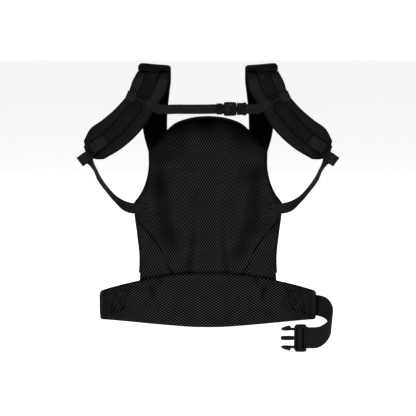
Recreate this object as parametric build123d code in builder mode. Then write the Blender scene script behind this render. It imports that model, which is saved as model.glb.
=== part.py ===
from build123d import *
import math
import os

# Soft baby carrier: a wrapped waist belt, a body panel, two padded shoulder straps joined by a
# chest strap, and a waist buckle on webbing. Sizes are in millimetres.
# Origin: middle of the belt's inner face. +Z up, +X to the wearer's right, -Y towards the wearer.
# Right-hand pieces are drawn, and left-hand pieces are their mirror images.

os.makedirs("parts", exist_ok=True)

# --- driving sizes -----------------------------------------------------------------------------
wrap_radius = 250.0        # bend of the belt and the panel round the body, at the inner face
flat_half = 60.0           # half of the flat stretch at the small of the back
pivot_half = 163.0         # where the padded belt starts to fold, at the panel's lower corners

belt_tip_half = 253.0      # belt centre to wing tip, across
belt_below = 64.0          # belt's lower edge under the origin, at the centre
belt_above = 67.0          # belt's upper edge over the origin, at the centre
belt_corner_top = 54.0     # upper edge where the panel ends
wing_end_top = 42.0        # upper edge at the wing tip
wing_end_bottom = -25.0    # lower edge at the wing tip
wing_end_round = 14.0      # rounding of the wing tip's corners

mesh_thick = 2.5           # spacer mesh
belt_foam_thick = 10.0     # belt padding
cover_thick = 1.5          # outer fabric
stiffener_thick = 1.5      # plastic sheet inside the belt
stiffener_half = 105.0     # half its width
stiffener_tall = 84.0      # its height
panel_pad_thick = 6.0      # panel padding
binding_wide = 2.5         # bound edge of the panel

panel_foot = 55.0          # panel's lower corner height
panel_hip_half = 175.0     # widest half width, at the side webs
panel_hip_low = 205.0      # start of the widest stretch
panel_hip_top = 240.0      # end of the widest stretch
strap_seam_outer = (138.5, 359.0)
strap_seam_inner = (98.0, 409.0)
panel_top = 445.0          # height of the rounded top edge

side_web_wide = 25.0       # webbing between strap and panel
chest_web_wide = 22.0      # chest strap webbing
waist_web_wide = 50.0      # waist belt webbing
web_thick = 1.6            # every webbing
anchor_long = 27.0         # sewn end of the side webbing on the panel

harness_y = -74.0          # front of the shoulder pads at harness_z
harness_z = 540.0
harness_tilt = 9.0         # pads lean towards the wearer going down, degrees
pad_cover_thick = 2.0
pad_foam_thick = 9.0
band_wide = 28.0           # smooth band down the middle of a pad
band_thick = 1.5

fold_y = -58.5             # axis that a shoulder strap folds over
fold_z = 556.0
fold_radius = 14.0
fold_gap_radius = 2.0
fold_inner = 86.0          # fold's inner and outer ends, across
fold_outer = 161.0

riser_lean = 15.4          # rear strap leans forward going up, degrees
riser_y = -3.5             # its middle at riser_z
riser_z = 385.0
riser_top = 551.0
riser_shell_thick = 8.0

slider_place = (156.0, -53.3)   # chest slider's middle, in the pad's plane
slider_turn = 23.3              # its turn, degrees
slider_wide = 32.0
slider_long = 23.0
slider_thick = 3.5
slider_bar = 2.6

end_place = (236.0, -143.0)     # start of the sewn strap end, in the pad's plane
end_turn = -34.4                # its direction, degrees
end_long = 31.0
end_thick = 2.0
lock_long = 19.5
lock_wide = 30.0
lock_thick = 5.0
lock_bar = 3.0
tail_long = 22.0
tail_thick = 4.0

chest_height = -72.0       # middle of the chest strap, in the pad's plane
chest_rise = 2.5           # middle of the chest strap over the pad's front
chest_male_start = 36.0
chest_male_end = 66.0
chest_male_wide = 32.0
chest_male_thick = 6.0
chest_female_end = 89.0
chest_female_wide = 30.0
chest_female_thick = 9.0
chest_prong_long = 16.0
chest_prong_wide = 3.5
chest_prong_thick = 4.0
chest_prong_out = 10.7     # prong's middle from the buckle's middle
chest_barb = 2.0

waist_z = -53.0            # height of the waist buckle's middle
waist_male_start = 200.0
waist_male_end = 228.0
waist_male_wide = 62.0
waist_male_thick = 8.0
waist_slot = 4.0           # webbing slots in the waist buckle's tongue
waist_bar = 8.5            # from its outer end to the middle of the outer slot
waist_rail = 6.0           # from its inner end to the middle of the inner slot
waist_prong_long = 31.0
waist_prong_wide = 7.0
waist_prong_thick = 6.0
waist_prong_out = 21.0
waist_barb = 5.0
waist_female_long = 46.0
waist_female_wide = 64.0
waist_female_thick = 12.0
web_bend = 40.0            # radius of the waist webbing's turn

# --- clearances --------------------------------------------------------------------------------
seam_gap = 0.2             # between pieces sewn edge to edge
free_gap = 0.3             # between pieces that move on each other
fold_gap = 0.6             # half the gap of the mesh at a wing's fold
foam_gap = 3.0             # half the gap of the padding at a wing's fold
prong_gap = 0.6            # between a prong and its root
lock_gap = 1.0             # between the sewn strap end and the ladder lock, room to tilt
swing_gap = 2.0            # between the belt's tip and the webbing that swings on it
turn_gap = 1.0             # between the waist buckle's bar end and the webbing it turns on

# --- sizes that follow -------------------------------------------------------------------------
foam_out = mesh_thick + belt_foam_thick
cover_out = foam_out + cover_thick
panel_pad_out = mesh_thick + panel_pad_thick
panel_out = panel_pad_out + cover_thick
anchor_out = cover_out + web_thick
low = -belt_below - 10
high = panel_top + 20
deep = wrap_radius

harness = Plane(
    origin=(0, harness_y, harness_z),
    x_dir=(1, 0, 0),
    z_dir=(0, -math.cos(math.radians(harness_tilt)), math.sin(math.radians(harness_tilt))),
)
riser_plane = Plane(
    origin=(0, riser_y, riser_z),
    x_dir=(1, 0, 0),
    z_dir=(0, -math.cos(math.radians(riser_lean)), -math.sin(math.radians(riser_lean))),
)
slider_plane = Plane(harness.location * Location((*slider_place, 0), (0, 0, slider_turn)))
end_plane = Plane(harness.location * Location((*end_place, 0), (0, 0, end_turn)))
chest_plane = Plane(harness.location * Location((0, chest_height, chest_rise)))


def turn_at(half, offset=0.0):
    """Wrap angle, in degrees, where a layer at this offset stands half away from the centre."""
    return math.degrees(math.asin((half - flat_half) / (wrap_radius + offset)))


def on_wrap(offset, turn):
    """Plan position on the right-hand wrap, an offset outside the inner face."""
    reach = wrap_radius + offset
    return (
        flat_half + reach * math.sin(math.radians(turn)),
        -wrap_radius + reach * math.cos(math.radians(turn)),
    )


def gap_turn(gap):
    """Wrap angle of a gap along the inner face, in degrees."""
    return math.degrees(gap / wrap_radius)


def save(piece, name):
    """Label a finished piece and write it."""
    piece.part.label = name
    export_step(piece.part, f"parts/{name}.step")


def save_mirrored(piece, name):
    """Write a piece's mirror image."""
    with BuildPart() as twin:
        add(piece.part)
        mirror(about=Plane.YZ, mode=Mode.REPLACE)
    save(twin, name)


def save_pair(piece, stem):
    """Write a right-hand piece and its left-hand twin."""
    save(piece, f"{stem}_right")
    save_mirrored(piece, f"{stem}_left")


def side_layer(outline, inner, outer, start, stop):
    """A right-hand wrapped layer between two offsets and two wrap angles, cut to an outline."""
    middle = (start + stop) / 2
    with BuildPart() as piece:
        with BuildSketch(Plane.XY.offset(low)):
            with BuildLine():
                ThreePointArc(on_wrap(inner, start), on_wrap(inner, middle), on_wrap(inner, stop))
                Line(on_wrap(inner, stop), on_wrap(outer, stop))
                ThreePointArc(on_wrap(outer, stop), on_wrap(outer, middle), on_wrap(outer, start))
                Line(on_wrap(outer, start), on_wrap(inner, start))
            make_face()
        extrude(amount=high - low)
        extrude(outline.sketch, amount=deep, both=True, mode=Mode.INTERSECT)
    return piece


def centre_layer(outline, inner, outer, stop):
    """A wrapped layer across the centre, out to the same wrap angle each side."""
    with BuildPart() as piece:
        with BuildSketch(Plane.XY.offset(low)):
            with BuildLine():
                Line((0, inner), (flat_half, inner))
                ThreePointArc((flat_half, inner), on_wrap(inner, stop / 2), on_wrap(inner, stop))
                Line(on_wrap(inner, stop), on_wrap(outer, stop))
                ThreePointArc(on_wrap(outer, stop), on_wrap(outer, stop / 2), (flat_half, outer))
                Line((flat_half, outer), (0, outer))
                mirror(about=Plane.YZ)
            make_face()
        extrude(amount=high - low)
        extrude(outline.sketch, amount=deep, both=True, mode=Mode.INTERSECT)
    return piece


def ribbon(stations, wide, thick):
    """Webbing through stations of (middle, width direction), each square to the way it runs."""
    middles = [Vector(*middle) for middle, across in stations]
    with BuildPart() as piece:
        for number, (middle, across) in enumerate(stations):
            before = middles[max(number - 1, 0)]
            after = middles[min(number + 1, len(stations) - 1)]
            along = (after - before).normalized()
            flat = Vector(*across) - along * along.dot(Vector(*across))
            with BuildSketch(Plane(origin=middles[number], x_dir=flat, z_dir=along)):
                Rectangle(wide, thick)
        loft(ruled=True)
    return piece


# --- outlines seen from the front --------------------------------------------------------------
def arc_height(x, peak, edge_x, edge_z):
    """Height at x of the arc over the centre that passes its peak and an edge point."""
    drop = peak - edge_z
    radius = (edge_x**2 + drop**2) / (2 * abs(drop))
    return peak - math.copysign(radius - math.sqrt(radius**2 - x**2), drop)


def belt_edge(x):
    """Height of the seam between belt and panel."""
    return arc_height(x, belt_above, pivot_half, belt_corner_top)


with BuildSketch(Plane.XZ) as belt_shape:
    with BuildLine():
        half_way = belt_tip_half / 2
        ThreePointArc(
            (0, -belt_below),
            (half_way, arc_height(half_way, -belt_below, belt_tip_half, wing_end_bottom)),
            (belt_tip_half, wing_end_bottom),
        )
        Polyline(
            (belt_tip_half, wing_end_bottom),
            (belt_tip_half, wing_end_top),
            (pivot_half, belt_corner_top),
        )
        ThreePointArc(
            (pivot_half, belt_corner_top),
            (pivot_half / 2, belt_edge(pivot_half / 2)),
            (0, belt_above),
        )
        mirror(about=Plane.YZ)
    make_face()
    tip_corners = belt_shape.vertices().filter_by(lambda v: abs(abs(v.X) - belt_tip_half) < 0.01)
    fillet(tip_corners, radius=wing_end_round)

def panel_outline(grow=0.0):
    """Panel's outline, moved out by a margin along its sides and top."""
    lean = grow * math.sqrt(0.5)
    seam_outer = (strap_seam_outer[0] + lean, strap_seam_outer[1] + lean)
    seam_inner = (strap_seam_inner[0] + lean, strap_seam_inner[1] + lean)
    with BuildSketch(Plane.XZ) as outline:
        with BuildLine():
            ThreePointArc(
                (0, belt_above + seam_gap),
                (pivot_half / 2, belt_edge(pivot_half / 2) + seam_gap),
                (pivot_half, belt_corner_top + seam_gap),
            )
            Spline(
                (pivot_half, belt_corner_top + seam_gap),
                (pivot_half - 1 + grow, (panel_foot + panel_hip_low) / 2 - 20),
                (panel_hip_half - 2 + grow, panel_hip_low),
                (panel_hip_half + grow, panel_hip_top + grow),
            )
            Spline(
                (panel_hip_half + grow, panel_hip_top + grow),
                (158.5 + lean, 263.0 + lean),
                (146.0 + grow, 292.0),
                seam_outer,
            )
            Line(seam_outer, seam_inner)
            Spline(
                seam_inner,
                (strap_seam_inner[0] * 0.77 + lean, panel_top - 16 + lean),
                (0, panel_top + grow),
                tangents=[(-1, 1), (-1, 0)],
            )
            mirror(about=Plane.YZ)
        make_face()
    return outline


panel_shape = panel_outline()
with BuildSketch(Plane.XZ) as bound_shape:
    add(panel_outline(binding_wide).sketch)
    with Locations((0, belt_above + 4 - deep)):
        Rectangle(3 * deep, 2 * deep, mode=Mode.SUBTRACT)

# seam between the middle of the inner mesh and its lower side pieces
side_seam = [(78.0, 40.0), (95.5, 87.0), (123.5, 141.0), (147.5, 166.5), (200.0, 216.0)]


def mesh_side(gap):
    """Region outside the right-hand seam of the inner mesh, moved out by a gap."""
    with BuildSketch(Plane.XZ) as region:
        with BuildLine():
            Spline(*[(x + gap, z - gap) for x, z in side_seam])
            last_x, last_z = side_seam[-1]
            first_x, first_z = side_seam[0]
            Polyline(
                (last_x + gap, last_z - gap),
                (last_x + 30, last_z - gap),
                (last_x + 30, first_z - gap),
                (first_x + gap, first_z - gap),
            )
        make_face()
    return region.sketch


with BuildSketch(Plane.XZ) as side_mesh_shape:
    add(panel_shape.sketch)
    add(mesh_side(seam_gap), mode=Mode.INTERSECT)

with BuildSketch(Plane.XZ) as middle_mesh_shape:
    add(panel_shape.sketch)
    add(mesh_side(0), mode=Mode.SUBTRACT)
    add(mesh_side(0).mirror(Plane.YZ), mode=Mode.SUBTRACT)

with BuildSketch(Plane.XZ) as stiffener_shape:
    RectangleRounded(2 * stiffener_half, stiffener_tall, 12)

with BuildSketch(Plane.XZ) as web_anchor_shape:
    with Locations((panel_hip_half - anchor_long / 2 - 1, panel_hip_top - 10.5)):
        Rectangle(anchor_long, side_web_wide)

anchor_z = (wing_end_top + wing_end_bottom) / 2 - 5
with BuildSketch(Plane.XZ) as waist_anchor_shape:
    with Locations((belt_tip_half, anchor_z)):
        Rectangle(4 * waist_web_wide, waist_web_wide)

# --- belt and panel ----------------------------------------------------------------------------
pivot_turn = turn_at(pivot_half)
tip_turn = turn_at(belt_tip_half + 5)
mesh_stop = pivot_turn - gap_turn(fold_gap)
mesh_start = pivot_turn + gap_turn(fold_gap)
foam_stop = pivot_turn - gap_turn(foam_gap)
foam_start = pivot_turn + gap_turn(foam_gap)

belt_mesh = centre_layer(belt_shape, 0, mesh_thick, mesh_stop)
save(belt_mesh, "belt_mesh_centre")

belt_foam = centre_layer(belt_shape, mesh_thick, foam_out, foam_stop)
stiffener = centre_layer(
    stiffener_shape, foam_out - stiffener_thick, foam_out, turn_at(stiffener_half + 10)
)
save(stiffener, "belt_stiffener")
with BuildPart() as belt_foam_cut:
    add(belt_foam.part)
    add(stiffener.part, mode=Mode.SUBTRACT)
save(belt_foam_cut, "belt_foam_centre")

belt_cover = centre_layer(belt_shape, foam_out, cover_out, foam_stop)
save(belt_cover, "belt_cover_centre")

wing_mesh = side_layer(belt_shape, 0, mesh_thick, mesh_start, tip_turn)
save_pair(wing_mesh, "wing_mesh")
wing_foam = side_layer(belt_shape, mesh_thick, foam_out, foam_start, tip_turn)
save_pair(wing_foam, "wing_foam")
wing_cover = side_layer(belt_shape, foam_out, cover_out, foam_start, tip_turn)
save_pair(wing_cover, "wing_cover")

anchor_start = turn_at(belt_tip_half - 55, cover_out)
anchor_stop = turn_at(belt_tip_half - 0.5, cover_out)
waist_anchor = side_layer(
    waist_anchor_shape, cover_out + seam_gap, anchor_out, anchor_start, anchor_stop
)
save_pair(waist_anchor, "waist_anchor")

panel_turn = turn_at(panel_hip_half + 20)
save(centre_layer(middle_mesh_shape, 0, mesh_thick, panel_turn), "panel_mesh")
save_pair(side_layer(side_mesh_shape, 0, mesh_thick, 0.5, panel_turn), "side_mesh")
save(centre_layer(panel_shape, mesh_thick, panel_pad_out, panel_turn), "panel_padding")
save(centre_layer(panel_shape, panel_pad_out, panel_out, panel_turn), "panel_shell")
with BuildPart() as panel_binding:
    add(centre_layer(bound_shape, 0, panel_out, panel_turn).part)
    add(centre_layer(panel_shape, -1, panel_out + 1, panel_turn).part, mode=Mode.SUBTRACT)
save(panel_binding, "panel_binding")
save_pair(side_layer(web_anchor_shape, -web_thick, -seam_gap, 5, panel_turn), "web_anchor")


# --- rear straps and the fold over the shoulder ------------------------------------------------
def riser_point(x, z):
    """Position in the rear strap's plane of a point at this height."""
    return (x, (z - riser_z) / math.cos(math.radians(riser_lean)))


seam_run = Vector(*strap_seam_outer) - Vector(*strap_seam_inner)
seam_out = Vector(-seam_run.Y, seam_run.X).normalized() * (binding_wide + 2 * free_gap + 1)
riser_foot_outer = (strap_seam_outer[0] + seam_out.X, strap_seam_outer[1] + seam_out.Y)
riser_foot_inner = (strap_seam_inner[0] + seam_out.X, strap_seam_inner[1] + seam_out.Y)
riser_outline = [
    riser_foot_outer,
    (150.5, 404.0),
    (157.0, 470.0),
    (fold_outer, riser_top),
    (fold_inner, riser_top),
    (91.5, 503.0),
    (97.0, 453.0),
    riser_foot_inner,
]


def riser_layer(back, thick):
    """Layer of the rear strap, from a distance behind its front."""
    with BuildPart() as piece:
        with BuildSketch(riser_plane.offset(-back)):
            with BuildLine():
                Polyline(*[riser_point(x, z) for x, z in riser_outline], close=True)
            make_face()
        extrude(amount=-thick)
    return piece


riser_front = (mesh_thick + riser_shell_thick) / 2
save_pair(riser_layer(-riser_front, mesh_thick), "riser_mesh")
save_pair(riser_layer(mesh_thick - riser_front, riser_shell_thick), "riser_shell")

with BuildPart() as strap_fold:
    with BuildSketch(Plane.YZ.offset(fold_inner)):
        with Locations((fold_y, fold_z)):
            Circle(fold_radius)
            Circle(fold_gap_radius, mode=Mode.SUBTRACT)
        with Locations((fold_y, fold_z - fold_radius)):
            Rectangle(3 * fold_radius, 2 * (fold_radius + free_gap), mode=Mode.SUBTRACT)
    extrude(amount=fold_outer - fold_inner)
save_pair(strap_fold, "strap_fold")


# --- shoulder pads -----------------------------------------------------------------------------
pad_top = 15.5             # upper edge of the pad, just under the fold


def pad_layer(front, thick):
    """Layer of the shoulder pad behind a distance from its front plane."""
    with BuildPart() as piece:
        with BuildSketch(harness.offset(-front)):
            with BuildLine():
                Spline(
                    (fold_outer, pad_top),
                    (173.5, -8.0),
                    (184.0, -37.0),
                    (211.0, -70.0),
                    (243.0, -98.0),
                    (271.0, -119.0),
                    (285.5, -146.0),
                    (275.0, -177.0),
                    (241.0, -187.0),
                    (197.0, -160.0),
                    (154.0, -119.0),
                    (127.0, -77.0),
                    (98.0, -29.0),
                    (fold_inner + 3, pad_top),
                )
                Line((fold_inner + 3, pad_top), (fold_outer, pad_top))
            make_face()
        extrude(amount=-thick)
    return piece


save_pair(pad_layer(0, pad_cover_thick), "pad_cover")
save_pair(pad_layer(pad_cover_thick, pad_foam_thick), "pad_foam")
save_pair(pad_layer(pad_cover_thick + pad_foam_thick, mesh_thick), "pad_mesh")

band_path = [(126.0, 10.0), (138.0, -20.0), slider_place, (190.0, -97.0), (216.0, -125.0), end_place]
with BuildPart() as pad_band:
    with BuildSketch(harness.offset(seam_gap)):
        with BuildLine():
            Spline(*band_path)
        trace(line_width=band_wide)
    extrude(amount=band_thick - seam_gap)
save_pair(pad_band, "pad_band")

# --- chest slider and its keeper ---------------------------------------------------------------
slider_lift = band_thick + free_gap
with BuildPart() as chest_slider:
    with BuildSketch(slider_plane.offset(slider_lift)):
        RectangleRounded(slider_wide, slider_long, 2)
        slot_wide = slider_wide - 4 * slider_bar
        with GridLocations(0, slider_long - 3.6 * slider_bar, 1, 2):
            Rectangle(slot_wide - 2, slider_bar, mode=Mode.SUBTRACT)
        with GridLocations(slider_wide - 2.2 * slider_bar, 0, 2, 1):
            Rectangle(slider_bar - 0.8, slider_long - 2 * slider_bar, mode=Mode.SUBTRACT)
    extrude(amount=slider_thick)
save_pair(chest_slider, "chest_slider")

keeper_start = slider_wide / 2 + 5 * free_gap
keeper_long = 19.0
with BuildPart() as slider_keeper:
    with BuildSketch(slider_plane.offset(slider_lift)):
        with Locations((keeper_start + keeper_long / 2, 0)):
            Rectangle(keeper_long, slider_long)
    extrude(amount=web_thick)
save_pair(slider_keeper, "slider_keeper")

# --- strap end, ladder lock and web tail -------------------------------------------------------
with BuildPart() as strap_end:
    with BuildSketch(end_plane.offset(band_thick)):
        with Locations((end_long / 2, 0)):
            Rectangle(end_long, side_web_wide + 1)
    extrude(amount=end_thick)
save_pair(strap_end, "strap_end")

lock_start = end_long + lock_gap
with BuildPart() as ladder_lock:
    with BuildSketch(end_plane.offset(free_gap)):
        with Locations((lock_start + lock_long / 2, 0)):
            RectangleRounded(lock_long, lock_wide, 2)
            with GridLocations(2 * lock_bar, 0, 2, 1):
                Rectangle(lock_bar, side_web_wide, mode=Mode.SUBTRACT)
    extrude(amount=lock_thick)
save_pair(ladder_lock, "ladder_lock")

tail_start = lock_start + lock_long + seam_gap
with BuildPart() as web_tail:
    with BuildSketch(end_plane.offset(3 * free_gap + web_thick)):
        with Locations((tail_start + tail_long / 2, 0)):
            Rectangle(tail_long, side_web_wide)
    extrude(amount=tail_thick)
save_pair(web_tail, "web_tail")

# the webbing hangs in a bow from the panel's side to the lock: shares of its way across, forward
# and up, with the direction of its width, which turns from upright to edge-on and back
side_web_course = [
    (0.0, 0.0, 0.0, (0, 0.1, 1)),
    (0.20, 0.09, 0.06, (0, 0.5, 0.9)),
    (0.39, 0.24, 0.21, (-0.2, 0.9, 0.3)),
    (0.58, 0.48, 0.41, (0, 1, 0)),
    (0.75, 0.72, 0.62, (0, 1, 0)),
    (0.84, 0.85, 0.77, (0.1, 1, 0.1)),
    (0.92, 0.95, 0.90, (0.3, 0.8, 0.4)),
    (1.0, 1.0, 1.0, (0.56, 0.13, 0.82)),
]
hip_x, hip_y = on_wrap(-2 * web_thick, turn_at(panel_hip_half + 6))
web_low = Vector(hip_x, hip_y, panel_hip_top - 10)
web_high = end_plane.from_local_coords((tail_start + 5, -side_web_wide / 2, -4))
side_web_stations = []
for share_x, share_y, share_z, across in side_web_course:
    reach = web_high - web_low
    middle = web_low + Vector(reach.X * share_x, reach.Y * share_y, reach.Z * share_z)
    side_web_stations.append(((middle.X, middle.Y, middle.Z), across))
save_pair(ribbon(side_web_stations, side_web_wide, web_thick), "side_web")


# --- chest strap -------------------------------------------------------------------------------
def chest_web(route):
    """Flat chest webbing along a route in the pad's plane."""
    with BuildPart() as piece:
        with BuildSketch(harness.offset(chest_rise - web_thick / 2)):
            with BuildLine():
                FilletPolyline(*route, radius=20)
            trace(line_width=chest_web_wide)
        extrude(amount=web_thick)
    return piece


slider_side = slider_wide / 2 + free_gap
turned = math.radians(slider_turn)
web_leave = (
    slider_place[0] - slider_side * math.cos(turned) - 1,
    slider_place[1] - slider_side * math.sin(turned),
)
web_corner = (
    web_leave[0] - (web_leave[1] - chest_height) / math.tan(turned),
    chest_height,
)
right_route = [web_leave, web_corner, (chest_female_end + free_gap, chest_height)]
left_route = [
    (-web_leave[0], web_leave[1]),
    (-web_corner[0], web_corner[1]),
    (chest_male_start - free_gap, chest_height),
]
save(chest_web(right_route), "chest_web_right")
save(chest_web(left_route), "chest_web_left")

keeper_middle = chest_male_start - 10
with BuildPart() as chest_keeper:
    with BuildSketch(chest_plane.offset(-2.4)):
        with Locations((keeper_middle, 0)):
            Rectangle(12, chest_web_wide + 3.2)
    extrude(amount=4.8)
    with BuildSketch(chest_plane.offset(-web_thick / 2 - free_gap)):
        with Locations((keeper_middle, 0)):
            Rectangle(14, chest_web_wide + 2 * free_gap)
    extrude(amount=web_thick + 2 * free_gap, mode=Mode.SUBTRACT)
save(chest_keeper, "chest_keeper")

slot_open = 3.0
with BuildPart() as chest_male:
    with BuildSketch(chest_plane.offset(-chest_male_thick / 2)):
        with Locations(((chest_male_start + chest_male_end) / 2, 0)):
            RectangleRounded(chest_male_end - chest_male_start, chest_male_wide, 2)
        with Locations((chest_male_start + 5.5, 0), (chest_male_start + 15, 0)):
            Rectangle(slot_open, chest_web_wide + 1, mode=Mode.SUBTRACT)
    extrude(amount=chest_male_thick)
    with BuildSketch(chest_plane.offset(-chest_prong_thick / 2)):
        with Locations((chest_male_end + chest_prong_long / 2 - 1, 0)):
            Rectangle(chest_prong_long + 2, 5)
    extrude(amount=chest_prong_thick)
save(chest_male, "chest_male")


def prong(plane, root, reach, middle, wide, barb, thick, way):
    """Flexing side prong with a barb, from its root along +X or -X (way), above the middle."""
    tip = root + way * reach
    with BuildPart() as piece:
        with BuildSketch(plane.offset(-thick / 2)):
            with BuildLine():
                Polyline(
                    (root, middle - wide / 2),
                    (tip - way * 2, middle - wide / 2),
                    (tip, middle),
                    (root + way * reach * 0.30, middle + wide / 2 + barb),
                    (root + way * reach * 0.26, middle + wide / 2),
                    (root, middle + wide / 2),
                    close=True,
                )
            make_face()
        extrude(amount=thick)
    return piece


def save_prongs(piece, plane, stem):
    """Write the upper prong and its mirror image below the buckle's middle."""
    save(piece, f"{stem}_upper")
    with BuildPart() as twin:
        add(piece.part)
        mirror(about=Plane(origin=plane.origin, z_dir=plane.y_dir), mode=Mode.REPLACE)
    save(twin, f"{stem}_lower")


chest_prong = prong(
    chest_plane, chest_male_end + prong_gap, chest_prong_long, chest_prong_out,
    chest_prong_wide, chest_barb, chest_prong_thick, 1,
)
save_prongs(chest_prong, chest_plane, "chest_prong")

female_start = chest_male_end + free_gap
female_middle = (female_start + chest_female_end) / 2
cavity_end = chest_male_end + chest_prong_long + 2.0
prong_reach = chest_prong_out + chest_prong_wide / 2 + free_gap + 0.2
with BuildPart() as chest_female:
    with BuildSketch(chest_plane.offset(-chest_female_thick / 2)):
        with Locations((female_middle, 0)):
            RectangleRounded(chest_female_end - female_start, chest_female_wide, 2)
        with Locations((chest_female_end - 3.2, 0)):
            Rectangle(2.2, chest_web_wide, mode=Mode.SUBTRACT)
    extrude(amount=chest_female_thick)
    with BuildSketch(chest_plane.offset(-chest_prong_thick / 2 - free_gap)):
        with Locations((cavity_end - 20, 0)):
            Rectangle(40, 2 * prong_reach)
        with Locations(((female_start + 3.2 + cavity_end) / 2, 0)):
            Rectangle(cavity_end - female_start - 3.2, chest_female_wide + 4)
    extrude(amount=chest_prong_thick + 2 * free_gap, mode=Mode.SUBTRACT)
save(chest_female, "chest_female")

# --- waist webbing and buckle, right-hand side -------------------------------------------------
tip_x, tip_y = on_wrap(cover_out + web_thick / 2, anchor_stop)
run_out = 22.0
heading = math.radians(anchor_stop)
turn_x = tip_x + run_out * math.cos(heading)
turn_y = tip_y - run_out * math.sin(heading)
centre_x = turn_x - web_bend * math.sin(heading)
centre_y = turn_y - web_bend * math.cos(heading)
web_steps = 9
first_angle = 90 - anchor_stop
waist_stations = [
    (
        (
            tip_x + swing_gap * math.cos(heading),
            tip_y - swing_gap * math.sin(heading),
            anchor_z,
        ),
        (0, 0, 1),
    )
]
for step in range(web_steps + 1):
    share = step / web_steps
    angle = math.radians(first_angle + (-90 - first_angle) * share)
    drop = share * share * (3 - 2 * share)
    middle = (
        centre_x + web_bend * math.cos(angle),
        centre_y + web_bend * math.sin(angle),
        anchor_z + (waist_z - anchor_z) * drop,
    )
    waist_stations.append((middle, (0, 0, 1)))
web_end_x = waist_male_end + turn_gap
waist_line_y = centre_y - web_bend
waist_stations.append(((web_end_x, waist_line_y, waist_z), (0, 0, 1)))
save(ribbon(waist_stations, waist_web_wide, web_thick), "waist_web_right")

buckle_plane = Plane(origin=(0, waist_line_y, waist_z), x_dir=(1, 0, 0), z_dir=(0, -1, 0))
with BuildPart() as waist_male:
    with BuildSketch(buckle_plane.offset(-waist_male_thick / 2)):
        with Locations(((waist_male_start + waist_male_end) / 2, 0)):
            RectangleRounded(waist_male_end - waist_male_start, waist_male_wide, 3)
        with Locations((waist_male_end - waist_bar, 0), (waist_male_start + waist_rail, 0)):
            Rectangle(waist_slot, waist_web_wide + 2, mode=Mode.SUBTRACT)
    extrude(amount=waist_male_thick)
    with BuildSketch(buckle_plane.offset(-waist_prong_thick / 2)):
        with Locations((waist_male_start - waist_prong_long / 2 + 1, 0)):
            Rectangle(waist_prong_long + 2, 9)
    extrude(amount=waist_prong_thick)
save(waist_male, "waist_male")

waist_prong = prong(
    buckle_plane, waist_male_start - prong_gap, waist_prong_long, waist_prong_out,
    waist_prong_wide, waist_barb, waist_prong_thick, -1,
)
save_prongs(waist_prong, buckle_plane, "waist_prong")

# --- waist socket, drawn on the right and mirrored to the left, folded behind the wing ---------
socket_turn = 39.0
socket_x, socket_y = on_wrap(anchor_out + 2, socket_turn)
socket_plane = Plane(
    origin=(socket_x, socket_y, anchor_z),
    x_dir=(math.cos(math.radians(socket_turn)), -math.sin(math.radians(socket_turn)), 0),
    z_dir=(math.sin(math.radians(socket_turn)), math.cos(math.radians(socket_turn)), 0),
)
socket_mouth_tall = waist_prong_thick + 2 * free_gap + 0.4
socket_mouth_wide = 2 * (waist_prong_out + waist_prong_wide / 2) + 2 * free_gap
socket_depth = waist_prong_long + 2
with BuildPart() as waist_female:
    with BuildSketch(socket_plane):
        RectangleRounded(waist_female_long, waist_female_wide, 3)
        with Locations((waist_female_long / 2 - waist_rail, 0)):
            Rectangle(waist_slot, waist_web_wide + 2, mode=Mode.SUBTRACT)
    extrude(amount=waist_female_thick)
    with BuildSketch(socket_plane.offset((waist_female_thick - socket_mouth_tall) / 2)):
        with Locations((-waist_female_long / 2 + socket_depth / 2, 0)):
            Rectangle(socket_depth, socket_mouth_wide)
        with Locations((-waist_female_long / 2 + 20, 0)):
            Rectangle(26, waist_female_wide + 4)
    extrude(amount=socket_mouth_tall, mode=Mode.SUBTRACT)
save_mirrored(waist_female, "waist_female")

socket_end = socket_plane.from_local_coords((waist_female_long / 2 + free_gap, 0, waist_female_thick / 2))
swing_x = tip_x + 3.5
swing_y = tip_y + 5.5
left_web_stations = [
    ((swing_x, swing_y, anchor_z), (0, 0, 1)),
    (
        ((swing_x + socket_end.X) / 2 + 2, (swing_y + socket_end.Y) / 2 + 1, anchor_z),
        (0, 0, 1),
    ),
    ((socket_end.X, socket_end.Y, anchor_z), (0, 0, 1)),
]
save_mirrored(ribbon(left_web_stations, waist_web_wide, web_thick), "waist_web_left")
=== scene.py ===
import logging
import math
from dataclasses import dataclass, field
from enum import Enum
from typing import Iterable, Sequence

import bmesh
import bpy
import numpy as np
from mathutils import Matrix, Vector


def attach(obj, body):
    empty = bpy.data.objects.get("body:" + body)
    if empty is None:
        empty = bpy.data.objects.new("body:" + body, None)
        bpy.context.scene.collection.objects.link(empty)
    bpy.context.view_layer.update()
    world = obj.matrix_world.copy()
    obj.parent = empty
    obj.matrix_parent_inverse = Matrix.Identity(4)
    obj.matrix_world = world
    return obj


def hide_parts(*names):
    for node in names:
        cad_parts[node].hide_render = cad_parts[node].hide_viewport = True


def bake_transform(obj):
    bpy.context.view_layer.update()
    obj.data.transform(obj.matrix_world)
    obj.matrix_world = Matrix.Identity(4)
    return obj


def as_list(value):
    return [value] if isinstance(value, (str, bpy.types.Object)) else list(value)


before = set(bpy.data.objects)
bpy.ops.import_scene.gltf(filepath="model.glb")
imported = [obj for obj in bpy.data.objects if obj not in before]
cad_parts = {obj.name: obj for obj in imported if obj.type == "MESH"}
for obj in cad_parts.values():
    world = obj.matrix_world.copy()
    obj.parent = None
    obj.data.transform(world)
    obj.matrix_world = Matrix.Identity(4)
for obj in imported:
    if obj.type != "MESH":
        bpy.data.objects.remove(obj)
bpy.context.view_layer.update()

log = logging.getLogger("carrier")
logging.basicConfig(level=logging.INFO, format="%(name)s: %(message)s")

# The sizes below are in millimetres, and meshes are in metres.
MM = 0.001
# Per-point attribute: millimetres along and across the fabric, and the painted shade in its folds and hollows,
# 0 to 1.
CLOTH = "cloth"
Array = np.ndarray


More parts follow.
